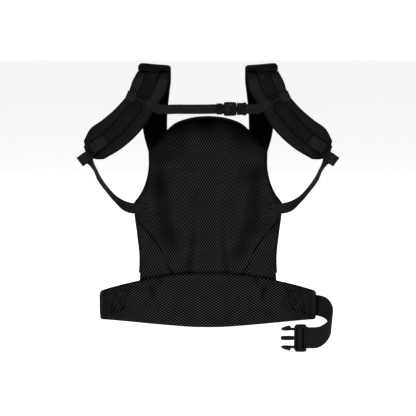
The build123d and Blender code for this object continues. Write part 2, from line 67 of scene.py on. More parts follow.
class Side(Enum):
    """The wearer's side that a piece lies on."""

    LEFT = -1
    RIGHT = 1

    @property
    def word(self) -> str:
        """The ending of the side's node and piece names."""
        return self.name.lower()

    def place(self, points: Array) -> Array:
        """Points drawn for the right-hand side, moved to this side."""
        return points * np.array([self.value, 1.0, 1.0])

    def flat(self, points: Array) -> Array:
        """Flat (x, z) points drawn for the right-hand side, moved to this side."""
        return points * np.array([self.value, 1.0])


class Slot(Enum):
    """Material slots of the record."""

    AIR_MESH = "air_mesh"
    FOAM = "foam"
    SHELL = "shell_fabric"
    RIBBED = "ribbed_fabric"
    SMOOTH = "smooth_fabric"
    WEBBING = "webbing"
    BINDING = "binding_tape"
    BUCKLE = "buckle_plastic"
    STIFFENER = "stiffener_plastic"


class Hold(Enum):
    """How a sheet of cloth is held."""

    STRETCHED = "stretched"
    FOLDED = "folded"
    GATHERED = "gathered"


# --- shader maths -------------------------------------------------------------------------------
class Signal:
    """A shader value that takes part in Python arithmetic."""

    def __init__(self, tree: "Tree", socket: bpy.types.NodeSocket) -> None:
        """Wrap an output socket of a tree."""
        self.tree = tree
        self.socket = socket

    def _math(self, operation: str, *others: "Signal | float", first: bool = True) -> "Signal":
        """Add a Math node.

        Args:
            operation: The node's operation.
            others: The other operands.
            first: Whether this signal is the first operand.

        Returns:
            The node's value.
        """
        operands = [self, *others] if first else [*others, self]
        inputs = dict(enumerate(operands))
        return self.tree.signal("ShaderNodeMath", {"operation": operation}, inputs)

    def __add__(self, other: "Signal | float") -> "Signal":
        """Sum."""
        return self._math("ADD", other)

    __radd__ = __add__

    def __sub__(self, other: "Signal | float") -> "Signal":
        """Difference."""
        return self._math("SUBTRACT", other)

    def __rsub__(self, other: float) -> "Signal":
        """Difference from a number."""
        return self._math("SUBTRACT", other, first=False)

    def __mul__(self, other: "Signal | float") -> "Signal":
        """Product."""
        return self._math("MULTIPLY", other)

    __rmul__ = __mul__

    def wave(self, period: float) -> "Signal":
        """Cosine with a period."""
        return (self * (2 * math.pi / period))._math("COSINE")

    def at_most(self, other: "Signal | float") -> "Signal":
        """The smaller of two."""
        return self._math("MINIMUM", other)

    def step(self, low: float, high: float) -> "Signal":
        """Smooth change from 0 at low to 1 at high."""
        settings = {"interpolation_type": "SMOOTHSTEP"}
        return self.tree.signal(
            "ShaderNodeMapRange", settings, {"Value": self, 1: low, 2: high, 3: 0.0, 4: 1.0}
        )


class Tree:
    """The node tree of one finish."""

    def __init__(self, name: str) -> None:
        """Start an empty material."""
        self.material = bpy.data.materials.new(name)
        self.material.use_nodes = True
        self.material.node_tree.nodes.clear()

    def node(self, kind: str, settings: dict | None = None, inputs: dict | None = None) -> bpy.types.Node:
        """Add a node.

        Args:
            kind: Its type.
            settings: Its properties, set first.
            inputs: Values or links of its sockets, by name or number.

        Returns:
            The node.
        """
        added = self.material.node_tree.nodes.new(kind)
        for key, value in (settings or {}).items():
            setattr(added, key, value)
        for key, value in (inputs or {}).items():
            if isinstance(value, Signal):
                self.material.node_tree.links.new(value.socket, added.inputs[key])
            else:
                added.inputs[key].default_value = value
        return added

    def signal(
        self, kind: str, settings: dict | None = None, inputs: dict | None = None, out: int | str = 0
    ) -> Signal:
        """Add a node and take one of its outputs."""
        return Signal(self, self.node(kind, settings, inputs).outputs[out])

    def cloth(self) -> tuple[Signal, Signal, Signal]:
        """Millimetres along and across the fabric, and 1 less the painted shade of its folds, as a factor on a
        finish's tone.
        """
        place = self.signal("ShaderNodeAttribute", {"attribute_name": CLOTH}, out="Vector")
        split = self.node("ShaderNodeSeparateXYZ", inputs={0: place})
        along, across, dark = (Signal(self, socket) for socket in split.outputs)
        # The third value is 1 less the painted shade, multiplied into each finish's tone.
        return along, across, 1 - dark

    def mix(self, share: "Signal | float", start: Sequence[float], end: Sequence[float]) -> Signal:
        """Colour between two."""
        inputs = {0: share, 6: (*start, 1.0), 7: (*end, 1.0)}
        return self.signal("ShaderNodeMix", {"data_type": "RGBA"}, inputs, out=2)

    def noise(self, scale: float, detail: float = 2.0) -> Signal:
        """Noise over the object's own space, with a number of grains to the metre."""
        place = self.signal("ShaderNodeTexCoord", out="Object")
        return self.signal("ShaderNodeTexNoise", None, {"Vector": place, "Scale": scale, "Detail": detail})

    def finish(
        self, colour: Signal, roughness: Signal, height: Signal, depth: float, fixed: dict
    ) -> bpy.types.Material:
        """Join colour, roughness and relief into the surface.

        Args:
            colour: Base colour.
            roughness: Roughness.
            height: Relief from 0 to 1.
            depth: Relief's depth in metres.
            fixed: Plain values of the shader's other sockets.

        Returns:
            The material.
        """
        normal = self.signal("ShaderNodeBump", None, {"Height": height, "Distance": depth, "Strength": 1.0})
        inputs = {"Base Color": colour, "Roughness": roughness, "Normal": normal, **fixed}
        shader = self.signal("ShaderNodeBsdfPrincipled", None, inputs)
        self.node("ShaderNodeOutputMaterial", None, {"Surface": shader})
        return self.material


# --- finishes -----------------------------------------------------------------------------------
@dataclass(frozen=True)
class Finish:
    """What every finish has: its slot and its tones."""

    slot: Slot
    name: str
    light: tuple[float, float, float]
    dark: tuple[float, float, float]
    sheen: float = 0.0
    index: float = 1.06
    sheen_roughness: float = 0.4

    def fixed(self) -> dict:
        """The shader values that are the same all over."""
        return {"Sheen Weight": self.sheen, "Sheen Roughness": self.sheen_roughness, "IOR": self.index}

    def paint(self, tree: Tree) -> bpy.types.Material:
        """Fill the tree; each finish has its own."""
        raise NotImplementedError

    def material(self) -> bpy.types.Material:
        """The material, made once."""
        found = bpy.data.materials.get(self.name)
        return found or self.paint(Tree(self.name))


@dataclass(frozen=True)
class AirMesh(Finish):
    """Knitted spacer mesh with staggered open cells."""

    index: float = 1.03
    cell_wide: float = 6.2
    cell_tall: float = 10.3
    lean: float = 0.0
    opening: tuple[float, float] = (-0.26, 0.0)
    yarn: float = 1.15
    grains: float = 26.0
    depth: float = 0.0009

    def paint(self, tree: Tree) -> bpy.types.Material:
        """Cells, the yarn round them and a little unevenness."""
        along, across, painted_light = tree.cloth()
        across = across + along * self.lean
        lattice = along.wave(self.cell_wide) * across.wave(self.cell_tall)
        cell = lattice.step(*self.opening)
        slant = across * 0.6
        yarn = ((along + slant).wave(self.yarn) * (along - slant).wave(self.yarn)) * 0.5 + 0.5
        drift = tree.noise(self.grains)
        rib = 1 - cell
        tone = rib * (0.55 + 0.3 * yarn + (drift - 0.5) * 0.5) * painted_light
        colour = tree.mix(tone, self.dark, self.light)
        relief = rib * (0.8 + 0.2 * yarn)
        return tree.finish(colour, 0.62 + 0.25 * cell, relief, self.depth, self.fixed())


@dataclass(frozen=True)
class RibbedWeave(Finish):
    """Ribbed stretch weave: fine cords along, finer threads across."""

    cord: float = 2.6
    thread: float = 1.5
    grains: float = 40.0
    depth: float = 0.0005

    def paint(self, tree: Tree) -> bpy.types.Material:
        """Cords, threads and the light they catch."""
        along, across, painted_light = tree.cloth()
        cord = across.wave(self.cord) * 0.5 + 0.5
        thread = (along + cord * 0.3).wave(self.thread) * 0.5 + 0.5
        drift = tree.noise(self.grains)
        tone = (cord * 0.5 + thread * 0.3 + drift * 0.4 - 0.1) * painted_light
        colour = tree.mix(tone.at_most(1.0), self.dark, self.light)
        relief = cord * 0.75 + thread * 0.25
        return tree.finish(colour, 0.78 - 0.2 * cord, relief, self.depth, self.fixed())


@dataclass(frozen=True)
class PlainWeave(Finish):
    """Tight plain weave with a soft grain."""

    thread: float = 0.9
    roughness: float = 0.6
    grains: float = 18.0
    depth: float = 0.00022

    def paint(self, tree: Tree) -> bpy.types.Material:
        """Over-and-under threads with slow shading."""
        along, across, painted_light = tree.cloth()
        check = along.wave(self.thread) * across.wave(self.thread) * 0.5 + 0.5
        drift = tree.noise(self.grains, 4.0)
        tone = (check * 0.45 + drift * 0.7 - 0.1) * painted_light
        colour = tree.mix(tone.at_most(1.0), self.dark, self.light)
        return tree.finish(colour, self.roughness + 0.2 * drift, check, self.depth, self.fixed())


@dataclass(frozen=True)
class WovenWebbing(Finish):
    """Heavy webbing: slanted yarns in lengthwise rows, with firm edges."""

    row: float = 2.1
    pick: float = 1.7
    grains: float = 60.0
    depth: float = 0.00035

    def paint(self, tree: Tree) -> bpy.types.Material:
        """Rows of slanted yarns."""
        along, across, painted_light = tree.cloth()
        row = across.wave(self.row) * 0.5 + 0.5
        sway = (across * (math.pi / self.row)).wave(2 * math.pi) * 0.5
        slant = (along + sway).wave(self.pick) * 0.5 + 0.5
        drift = tree.noise(self.grains)
        tone = (row * 0.35 + slant * 0.35 + drift * 0.35) * painted_light
        colour = tree.mix(tone.at_most(1.0), self.dark, self.light)
        relief = row * 0.5 + slant * 0.5
        return tree.finish(colour, 0.62 - 0.16 * row, relief, self.depth, self.fixed())


@dataclass(frozen=True)
class Grosgrain(Finish):
    """Binding tape with fine ribs across."""

    rib: float = 1.3
    grains: float = 70.0
    depth: float = 0.0003

    def paint(self, tree: Tree) -> bpy.types.Material:
        """Cross ribs and a worn crest."""
        along, _, painted_light = tree.cloth()
        rib = along.wave(self.rib) * 0.5 + 0.5
        drift = tree.noise(self.grains)
        tone = (rib * 0.5 + drift * 0.5) * painted_light
        colour = tree.mix(tone.at_most(1.0), self.dark, self.light)
        return tree.finish(colour, 0.55 + 0.2 * drift, rib, self.depth, self.fixed())


@dataclass(frozen=True)
class Moulded(Finish):
    """Injection-moulded plastic with a fine spark-eroded grain."""

    grain: float = 1500.0
    slow: float = 45.0
    marks: float = 260.0
    worn: tuple[float, float] = (0.62, 0.72)
    roughness: float = 0.34
    gloss_index: float = 1.2
    depth: float = 0.00006

    def fixed(self) -> dict:
        """Plastic has no sheen and reflects a little more."""
        return {"IOR": self.gloss_index}

    def paint(self, tree: Tree) -> bpy.types.Material:
        """Grain, slow gloss changes and faint handling marks."""
        grain = tree.noise(self.grain, 1.0)
        slow = tree.noise(self.slow, 3.0)
        marks = tree.noise(self.marks, 4.0).step(*self.worn)
        colour = tree.mix(slow * 0.6 + grain * 0.4, self.dark, self.light)
        roughness = self.roughness + 0.12 * slow + 0.08 * grain - 0.06 * marks
        return tree.finish(colour, roughness, grain, self.depth, self.fixed())


@dataclass(frozen=True)
class Sewing(Finish):
    """Twisted polyester thread."""

    twist: float = 0.6
    depth: float = 0.0001

    def paint(self, tree: Tree) -> bpy.types.Material:
        """A twist along each stitch."""
        along, across, painted_light = tree.cloth()
        twist = (along + across).wave(self.twist) * 0.5 + 0.5
        colour = tree.mix(twist * painted_light, self.dark, self.light)
        return tree.finish(colour, 0.45 + 0.1 * twist, twist, self.depth, self.fixed())


def grey(level: float) -> tuple[float, float, float]:
    """A black that leans very slightly to blue."""
    return (level, level, level * 1.03)


class Kit:
    """The carrier's finishes."""

    panel_mesh = AirMesh(Slot.AIR_MESH, "air mesh, panel", grey(0.0540), grey(0.0001), 0.004)
    side_mesh = AirMesh(
        Slot.AIR_MESH, "air mesh, side", grey(0.0540), grey(0.0001), 0.004, cell_wide=6.6, cell_tall=10.9,
        lean=0.1,
    )
    belt_mesh = AirMesh(
        Slot.AIR_MESH, "air mesh, belt", grey(0.0600), grey(0.0001), 0.004, cell_wide=10.1, cell_tall=6.7
    )
    # The strap's own finer diamond mesh, in a near-black tone that is painted shade for the risers in shadow.
    strap_mesh = AirMesh(
        Slot.AIR_MESH, "air mesh, strap", grey(0.0030), grey(0.0001), 0.001, cell_wide=5.6, cell_tall=5.6
    )
    ribbed = RibbedWeave(Slot.RIBBED, "ribbed weave", grey(0.0240), grey(0.0020), 0.008)
    smooth = PlainWeave(Slot.SMOOTH, "smooth plain weave", grey(0.0100), grey(0.0040), 0.004)
    shell = PlainWeave(
        Slot.SHELL, "outer plain weave", grey(0.0130), grey(0.0040), 0.006, thread=1.2, roughness=0.66
    )
    webbing = WovenWebbing(Slot.WEBBING, "woven webbing", grey(0.0190), grey(0.0030), 0.006)
    binding = Grosgrain(Slot.BINDING, "grosgrain tape", grey(0.0130), grey(0.0020), 0.005)
    foam = PlainWeave(Slot.FOAM, "padding", grey(0.04), grey(0.02), 0.0, thread=3.0, roughness=0.85)
    plastic = Moulded(Slot.BUCKLE, "moulded plastic", grey(0.0022), grey(0.0008))
    stiffener = Moulded(Slot.STIFFENER, "stiffener sheet", grey(0.28), grey(0.22))
    thread = Sewing(Slot.SMOOTH, "sewing thread", grey(0.040), grey(0.010), 0.01)


# --- meshes -------------------------------------------------------------------------------------
def make_object(
    name: str, points: Array, faces: Iterable[Sequence[int]], cloth: Array, finish: Finish
) -> bpy.types.Object:
    """Make a mesh object.

    Args:
        name: Piece name.
        points: Corners in millimetres.
        faces: Corner numbers of each face.
        cloth: Millimetres along and across the fabric for each corner, then its painted shade, if it has any.
        finish: What it is made of.

    Returns:
        The object, smooth with its sharp edges kept.
    """
    mesh = bpy.data.meshes.new(name)
    mesh.from_pydata((points * MM).tolist(), [], [list(map(int, face)) for face in faces])
    place = mesh.attributes.new(CLOTH, "FLOAT_VECTOR", "POINT")
    full = np.zeros((len(cloth), 3), np.float32)
    full[:, : cloth.shape[1]] = cloth
    place.data.foreach_set("vector", full.ravel())
    return dress_mesh(name, mesh, finish)


def dress_mesh(name: str, mesh: bpy.types.Mesh, finish: Finish, crease: float = 42.0) -> bpy.types.Object:
    """Turn a mesh into a piece with one finish, faces outward, smooth but for its creases."""
    shape = bmesh.new()
    shape.from_mesh(mesh)
    bmesh.ops.recalc_face_normals(shape, faces=shape.faces)
    shape.to_mesh(mesh)
    shape.free()
    mesh.shade_smooth()
    mesh.set_sharp_from_angle(angle=math.radians(crease))
    mesh.materials.append(finish.material())
    made = bpy.data.objects.new(name, mesh)
    bpy.context.scene.collection.objects.link(made)
    log.info("%s: %d faces", name, len(mesh.polygons))
    return made


def grid_faces(rows: int, cols: int, start: int = 0) -> Array:
    """Quads of a grid of points that are numbered row by row."""
    number = np.arange(rows * cols).reshape(rows, cols) + start
    corners = [number[:-1, :-1], number[:-1, 1:], number[1:, 1:], number[1:, :-1]]
    return np.stack(corners, -1).reshape(-1, 4)


def closed_faces(rows: int, cols: int) -> Array:
    """Quads of a closed form made of two equal grids and the rim between them."""
    number = np.arange(rows * cols).reshape(rows, cols)
    rim = np.concatenate([number[0, :-1], number[:-1, -1], number[-1, :0:-1], number[:0:-1, 0]])
    ahead = np.roll(rim, -1)
    count = rows * cols
    wall = np.stack([rim, rim + count, ahead + count, ahead], -1)
    return np.concatenate([grid_faces(rows, cols), grid_faces(rows, cols, count)[:, ::-1], wall])


def through(points: Sequence[Sequence[float]], count: int) -> Array:
    """Evenly spaced points on the smooth curve through some points."""
    knots = np.array(points, float)
    ends = np.vstack([2 * knots[0] - knots[1], knots, 2 * knots[-1] - knots[-2]])
    dense = []
    for a, b, c, d in zip(ends[:-3], ends[1:-2], ends[2:-1], ends[3:]):
        first, last = np.linalg.norm(b - a) ** 0.5, np.linalg.norm(d - c) ** 0.5
        middle = np.linalg.norm(c - b) ** 0.5
        leave = middle * ((b - a) / first - (c - a) / (first + middle) + (c - b) / middle)
        arrive = middle * ((c - b) / middle - (d - b) / (middle + last) + (d - c) / last)
        t = np.linspace(0, 1, 24, endpoint=False)[:, None]
        dense.append(
            (2 * t**3 - 3 * t**2 + 1) * b + (t**3 - 2 * t**2 + t) * leave
            + (3 * t**2 - 2 * t**3) * c + (t**3 - t**2) * arrive
        )
    return evenly(np.vstack([*dense, knots[-1:]]), count)


def reaches(line: Array) -> Array:
    """Distance along a line of each of its points."""
    return np.concatenate([[0], np.cumsum(np.linalg.norm(np.diff(line, axis=0), axis=1))])


def headings(line: Array) -> Array:
    """Direction of a line at each of its points."""
    run = np.gradient(line, axis=0)
    return run / np.linalg.norm(run, axis=1, keepdims=True)


def evenly(line: Array, count: int) -> Array:
    """A line's points spread evenly over its length."""
    reach = reaches(line)
    wanted = np.linspace(0, reach[-1], count)
    return np.column_stack([np.interp(wanted, reach, line[:, axis]) for axis in range(line.shape[1])])


def patch(bottom: Array, top: Array, left: Array, right: Array) -> Array:
    """Grid of points that fills the space between four edge lines."""
    across = np.linspace(0, 1, len(bottom))[None, :, None]
    up = np.linspace(0, 1, len(left))[:, None, None]
    ruled = (1 - up) * bottom[None] + up * top[None] + (1 - across) * left[:, None] + across * right[:, None]
    corners = (
        (1 - up) * (1 - across) * bottom[0] + (1 - up) * across * bottom[-1]
        + up * (1 - across) * top[0] + up * across * top[-1]
    )
    return ruled - corners


def finer(grid: Array, rows: int, cols: int) -> Array:
    """A grid of values smoothly resampled to more rows and columns."""
    for axis, count in ((0, rows), (1, cols)):
        grid = np.moveaxis(grid, axis, 0)
        place = np.linspace(0, len(grid) - 1, count)
        low = np.clip(place.astype(int), 0, len(grid) - 2)
        t = (place - low).reshape(-1, *([1] * (grid.ndim - 1)))
        a, b, c, d = (grid[np.clip(low + k, 0, len(grid) - 1)] for k in (-1, 0, 1, 2))
        grid = 0.5 * (2 * b + (c - a) * t + (2 * a - 5 * b + 4 * c - d) * t**2 + (3 * b - a - 3 * c + d) * t**3)
        grid = np.moveaxis(grid, 0, axis)
    return grid


def edge_distance(grid: Array) -> Array:
    """Distance of every point of a grid from the grid's own edge."""
    rim = np.concatenate([grid[0], grid[:, -1], grid[-1], grid[:, 0]])
    return line_distance(grid, rim)


def line_distance(grid: Array, line: Array) -> Array:
    """Distance of every point of a grid from the nearest point of a line."""
    flat = grid.reshape(-1, grid.shape[-1])
    found = [
        np.min(np.linalg.norm(part[:, None] - line[None], axis=2), axis=1) for part in np.array_split(flat, 40)
    ]
    return np.concatenate(found).reshape(grid.shape[:-1])


def hump(distance: Array, reach: float) -> Array:
    """1 at distance 0, falling smoothly to 0 at reach."""
    near = np.clip(1 - np.abs(distance) / reach, 0, 1)
    return near * near * (3 - 2 * near)


def crown(distance: Array, reach: float) -> Array:
    """Rounded rise from 0 at an edge to 1 at a reach inside it."""
    return np.sqrt(np.clip(1 - (1 - np.clip(distance / reach, 0, 1)) ** 2, 0, 1))


def unevenness(along: Array, across: Array, length: float, seed: int) -> Array:
    """Slow waves in every direction, about -1 to 1, over a typical length."""
    draw = np.random.default_rng(seed)
    total = np.zeros_like(along)
    for _ in range(6):
        angle, phase = draw.uniform(0, math.pi), draw.uniform(0, 2 * math.pi)
        scale = draw.uniform(0.7, 1.6)
        run = along * math.cos(angle) + across * math.sin(angle)
        total += np.sin(2 * math.pi * run / (length * scale) + phase)
    return total / 3


def flat_area(cloth: Array) -> float:
    """Flat area of a grid of fabric, in square metres."""
    a, b = cloth[1:, 1:] - cloth[:-1, :-1], cloth[1:, :-1] - cloth[:-1, 1:]
    return float(np.abs(a[..., 0] * b[..., 1] - a[..., 1] * b[..., 0]).sum() / 2) * MM * MM


@dataclass
class Layer:
    """A layer of fabric or padding between two equal grids of points."""

    front: Array
    back: Array
    cloth: Array

    def piece(self, name: str, finish: Finish) -> bpy.types.Object:
        """Its closed mesh."""
        rows, cols = self.cloth.shape[:2]
        points = np.concatenate([self.front.reshape(-1, 3), self.back.reshape(-1, 3)])
        cloth = np.concatenate([self.cloth.reshape(-1, self.cloth.shape[-1])] * 2)
        return make_object(name, points, closed_faces(rows, cols), cloth, finish)

    def sheet(self, name: str, finish: Finish, hold: Hold, rests_on: Sequence[str] = ()) -> bpy.types.Object:
        """Its closed mesh, the same as `piece`."""
        made = self.piece(name, finish)
        run = self.cloth[..., :2].reshape(-1, 2)
        span = (run.max(0) - run.min(0)) * MM
        min(flat_area(self.cloth), span[0] * span[1])
        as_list(rests_on)
        return made

    def padding(self, name: str, fill: float) -> bpy.types.Object:
        """Its closed mesh, made of foam."""
        made = self.piece(name, Kit.foam)
        return made


@dataclass(frozen=True)
class Stuffing:
    """Blows a sewn case up over its padding with a short cloth simulation."""

    pressure: float = 4.0
    frames: int = 20
    cap: float = 5.0
    mass: float = 0.2
    bending: float = 0.6
    tension: float = 18.0

    def swell(self, front: Array, back: Array, held: Array) -> tuple[Array, Array]:
        """Simulate a coarse case.

        Args:
            front: Its front points, in millimetres.
            back: Its back points.
            held: Which points a seam holds.

        Returns:
            How far each front and back point moves, in millimetres.
        """
        rows, cols = held.shape
        points = np.concatenate([front.reshape(-1, 3), back.reshape(-1, 3)])
        case = make_object("case", points, closed_faces(rows, cols), np.zeros((len(points), 2)), Kit.foam)
        group = case.vertex_groups.new(name="seams")
        group.add(np.flatnonzero(np.concatenate([held.ravel(), held.ravel()])).tolist(), 1.0, "REPLACE")
        cloth = case.modifiers.new("cloth", "CLOTH")
        settings = cloth.settings
        settings.use_pressure = True
        settings.uniform_pressure_force = self.pressure
        settings.vertex_group_mass = group.name
        settings.quality = 6
        settings.mass = self.mass
        settings.bending_stiffness = self.bending
        settings.tension_stiffness = settings.compression_stiffness = self.tension
        settings.effector_weights.gravity = 0.0
        cloth.point_cache.frame_start, cloth.point_cache.frame_end = 1, self.frames
        scene = bpy.context.scene
        for number in range(1, self.frames + 1):
            scene.frame_set(number)
        solved = case.evaluated_get(bpy.context.evaluated_depsgraph_get())
        places = np.empty(len(points) * 3, np.float32)
        solved.data.vertices.foreach_get("co", places)
        scene.frame_set(1)
        mesh = case.data
        bpy.data.objects.remove(case)
        bpy.data.meshes.remove(mesh)
        move = places.reshape(-1, 3) / MM - points
        size = np.linalg.norm(move, axis=1, keepdims=True)
        move *= np.minimum(1.0, self.cap / np.maximum(size, 1e-6))
        return move[: rows * cols].reshape(rows, cols, 3), move[rows * cols:].reshape(rows, cols, 3)


def sweep(
    name: str, line: Array, section: Array, across: Array, finish: Finish, square: bool = True
) -> bpy.types.Object:
    """Sweep a closed section along a line.

    Args:
        name: Piece name.
        line: Points of the line, in millimetres.
        section: Closed section as (sideways, outward) pairs, or one such section per point.
        across: Sideways direction, or one for each point.
        finish: What it is made of.
        square: Whether the section is turned square to the line, or kept as upright as `across`.

    Returns:
        The piece, closed at both ends.
    """
    count = len(line)
    sections = np.broadcast_to(section, (count, *section.shape[-2:]))
    run = headings(line)
    side = across - run * np.sum(across * run, axis=1, keepdims=True) * square
    side /= np.linalg.norm(side, axis=1, keepdims=True)
    out = np.cross(side, run)
    out /= np.linalg.norm(out, axis=1, keepdims=True)
    rings = line[:, None] + sections[..., :1] * side[:, None] + sections[..., 1:] * out[:, None]
    corners = sections.shape[1]
    number = np.arange(count * corners).reshape(count, corners)
    ahead = np.roll(number, -1, axis=1)
    walls = np.stack([number[:-1], ahead[:-1], ahead[1:], number[1:]], -1).reshape(-1, 4).tolist()
    reach = np.broadcast_to(reaches(line)[:, None], (count, corners))
    cloth = np.stack([reach, sections[..., 0]], -1).reshape(-1, 2)
    faces = [*walls, number[0][::-1].tolist(), number[-1].tolist()]
    return make_object(name, rings.reshape(-1, 3), faces, cloth, finish)


def tape_section(wide: float, thick: float, steps: int = 12) -> Array:
    """Section of webbing: flat faces with points enough to take a weave, and round edges."""
    half, round_off = wide / 2 - thick / 2, thick / 2
    face = np.linspace(-half, half, steps)
    bow = np.linspace(-math.pi / 2, math.pi / 2, 5)[1:-1]
    top = np.column_stack([face, np.full(steps, round_off)])
    right = np.column_stack([half + round_off * np.cos(bow[::-1]), round_off * np.sin(bow[::-1])])
    base = np.column_stack([face[::-1], np.full(steps, -round_off)])
    left = np.column_stack([-half - round_off * np.cos(bow), round_off * np.sin(bow)])
    return np.concatenate([top, right, base, left])


def oval_section(half_wide: float, half_deep: float, steps: int = 16) -> Array:
    """Oval section."""
    angle = np.linspace(0, 2 * math.pi, steps, endpoint=False)
    return np.column_stack([half_wide * np.cos(angle), half_deep * np.sin(angle)])


@dataclass(frozen=True)
class Seam:
    """A row of stitches."""

    long: float = 2.6
    gap: float = 1.3
    thick: float = 0.55
    lift: float = 0.25

    def dashes(self, line: Array, out: Array) -> list[tuple[Array, Array, Array]]:
        """Start, end and outward direction of each stitch on a line."""
        length = np.linalg.norm(np.diff(line, axis=0), axis=1).sum()
        count = max(1, int(length / (self.long + self.gap)))
        both = evenly(np.column_stack([line, np.broadcast_to(out, line.shape)]), 2 * count + 1)
        return [(both[2 * k, :3], both[2 * k + 1, :3], both[2 * k, 3:]) for k in range(count)]

    def sew(self, name: str, rows: Sequence[tuple[Array, Array]]) -> bpy.types.Object:
        """Make stitches along lines.

        Args:
            name: Piece name.
            rows: Each line with its outward direction.

        Returns:
            One piece that holds every stitch.
        """
        points, faces, cloth = [], [], []
        turn = np.linspace(0, 2 * math.pi, 6, endpoint=False)
        for line, out in rows:
            for start, end, lift in self.dashes(line, out):
                run = (end - start) / max(np.linalg.norm(end - start), 1e-6)
                lift = lift / np.linalg.norm(lift)
                side = np.cross(run, lift)
                for share, fat, rise in ((0, 0.35, -0.5), (0.2, 0.9, 0.6), (0.8, 0.9, 0.6), (1, 0.35, -0.5)):
                    middle = start + (end - start) * share + lift * (self.lift * rise)
                    ring = np.outer(np.cos(turn), side) + np.outer(np.sin(turn), lift)
                    points.append(middle + ring * (self.thick / 2 * fat))
                    cloth.append(np.column_stack([np.full(6, share * self.long), turn]))
                first = len(points) * 6 - 24
                for ring in range(3):
                    base = first + ring * 6
                    faces += [
                        (base + k, base + (k + 1) % 6, base + 6 + (k + 1) % 6, base + 6 + k) for k in range(6)
                    ]
                faces += [tuple(range(first + 5, first - 1, -1)), tuple(range(first + 18, first + 24))]
        return make_object(name, np.concatenate(points), faces, np.concatenate(cloth), Kit.thread)


@dataclass(frozen=True)
class Frame:
    """A flat place to build on: sideways, upward and outward directions from an origin."""

    origin: Array
    side: Array
    up: Array

    @property
    def out(self) -> Array:
        """Direction off the face."""
        return np.cross(self.side, self.up)

    def point(self, u: Array | float, v: Array | float, n: Array | float = 0.0) -> Array:
        """Points at distances sideways, upward and outward."""
        u, v, n = np.broadcast_arrays(u, v, n)
        return self.origin + u[..., None] * self.side + v[..., None] * self.up + n[..., None] * self.out

    def turned(self, u: float, v: float, degrees: float, n: float = 0.0) -> "Frame":
        """A frame on this one's face, turned anticlockwise."""
        turn = math.radians(degrees)
        side = self.side * math.cos(turn) + self.up * math.sin(turn)
        up = self.up * math.cos(turn) - self.side * math.sin(turn)
        return Frame(self.point(u, v, n), side, up)


@dataclass(frozen=True)
class Wrap:
    """The bend of belt and panel round the body: flat in the middle, then an arc each side."""

    radius: float = 250.0
    flat: float = 60.0

    def over(self, x: Array) -> Array:
        """How far out of the flat stretch x lies."""
        return np.maximum(np.abs(x) - self.flat, 0.0)

    def depth(self, x: Array, offset: Array | float) -> Array:
        """Y of a layer this far outside the inner face."""
        return np.sqrt(np.maximum((self.radius + offset) ** 2 - self.over(x) ** 2, 1.0)) - self.radius

    def reach(self, x: Array) -> Array:
        """Distance along the fabric from the centre."""
        bend = self.radius * np.arcsin(np.clip(self.over(x) / self.radius, 0, 1))
        return np.sign(x) * (np.minimum(np.abs(x), self.flat) + bend)

    def points(self, place: Array, offset: Array | float) -> Array:
        """Wrapped points of a flat front view (x, z)."""
        return np.stack([place[..., 0], self.depth(place[..., 0], offset), place[..., 1]], -1)

    def cloth(self, place: Array) -> Array:
        """Distance along and up the fabric."""
        return np.stack([self.reach(place[..., 0]), place[..., 1]], -1)


WRAP = Wrap()
UPRIGHT = np.array([0.0, 0.0, 1.0])
TILT = math.radians(9.0)
HARNESS = Frame(
    np.array([0.0, -74.0, 540.0]), np.array([1.0, 0, 0]), np.array([0, math.sin(TILT), math.cos(TILT)]),
)
SLIDER_PLACE = (156.0, -53.3, 23.3)


def mirrored(points: Sequence[Sequence[float]]) -> list[tuple[float, float]]:
    """A right-hand line of (x, z) points on the left, in the opposite order."""
    return [(-x, z) for x, z in points][::-1]


def box_cross(corners: Sequence[Sequence[float]]) -> list[Array]:
    """Lines of a box with a cross in it."""
    a, b, c, d = (np.array(corner, float) for corner in corners)
    return [evenly(np.array(line), 40) for line in ([a, b, c, d, a], [a, c], [b, d])]


def on_surface(flat: Array, surface: Array, line: Array, lift: float) -> tuple[Array, Array]:
    """Lay a flat line on a surface seen from the front.

    Args:
        flat: The surface's grid in the flat view.
        surface: The same grid in space.
        line: Points in the flat view.
        lift: How far in front of the surface the line lies.

    Returns:
        The line in space and the direction out of the surface.
    """
    plain, solid = flat.reshape(-1, 2), surface.reshape(-1, 3)
    laid = []
    for place in line:
        gap = np.linalg.norm(plain - place, axis=1)
        near = np.argpartition(gap, 4)[:4]
        share = 1 / (gap[near] + 0.05)
        laid.append((solid[near] * share[:, None]).sum(0) / share.sum())
    laid = np.array(laid)
    out = np.array([0.0, -1.0, 0.0])
    return laid + out * lift, out


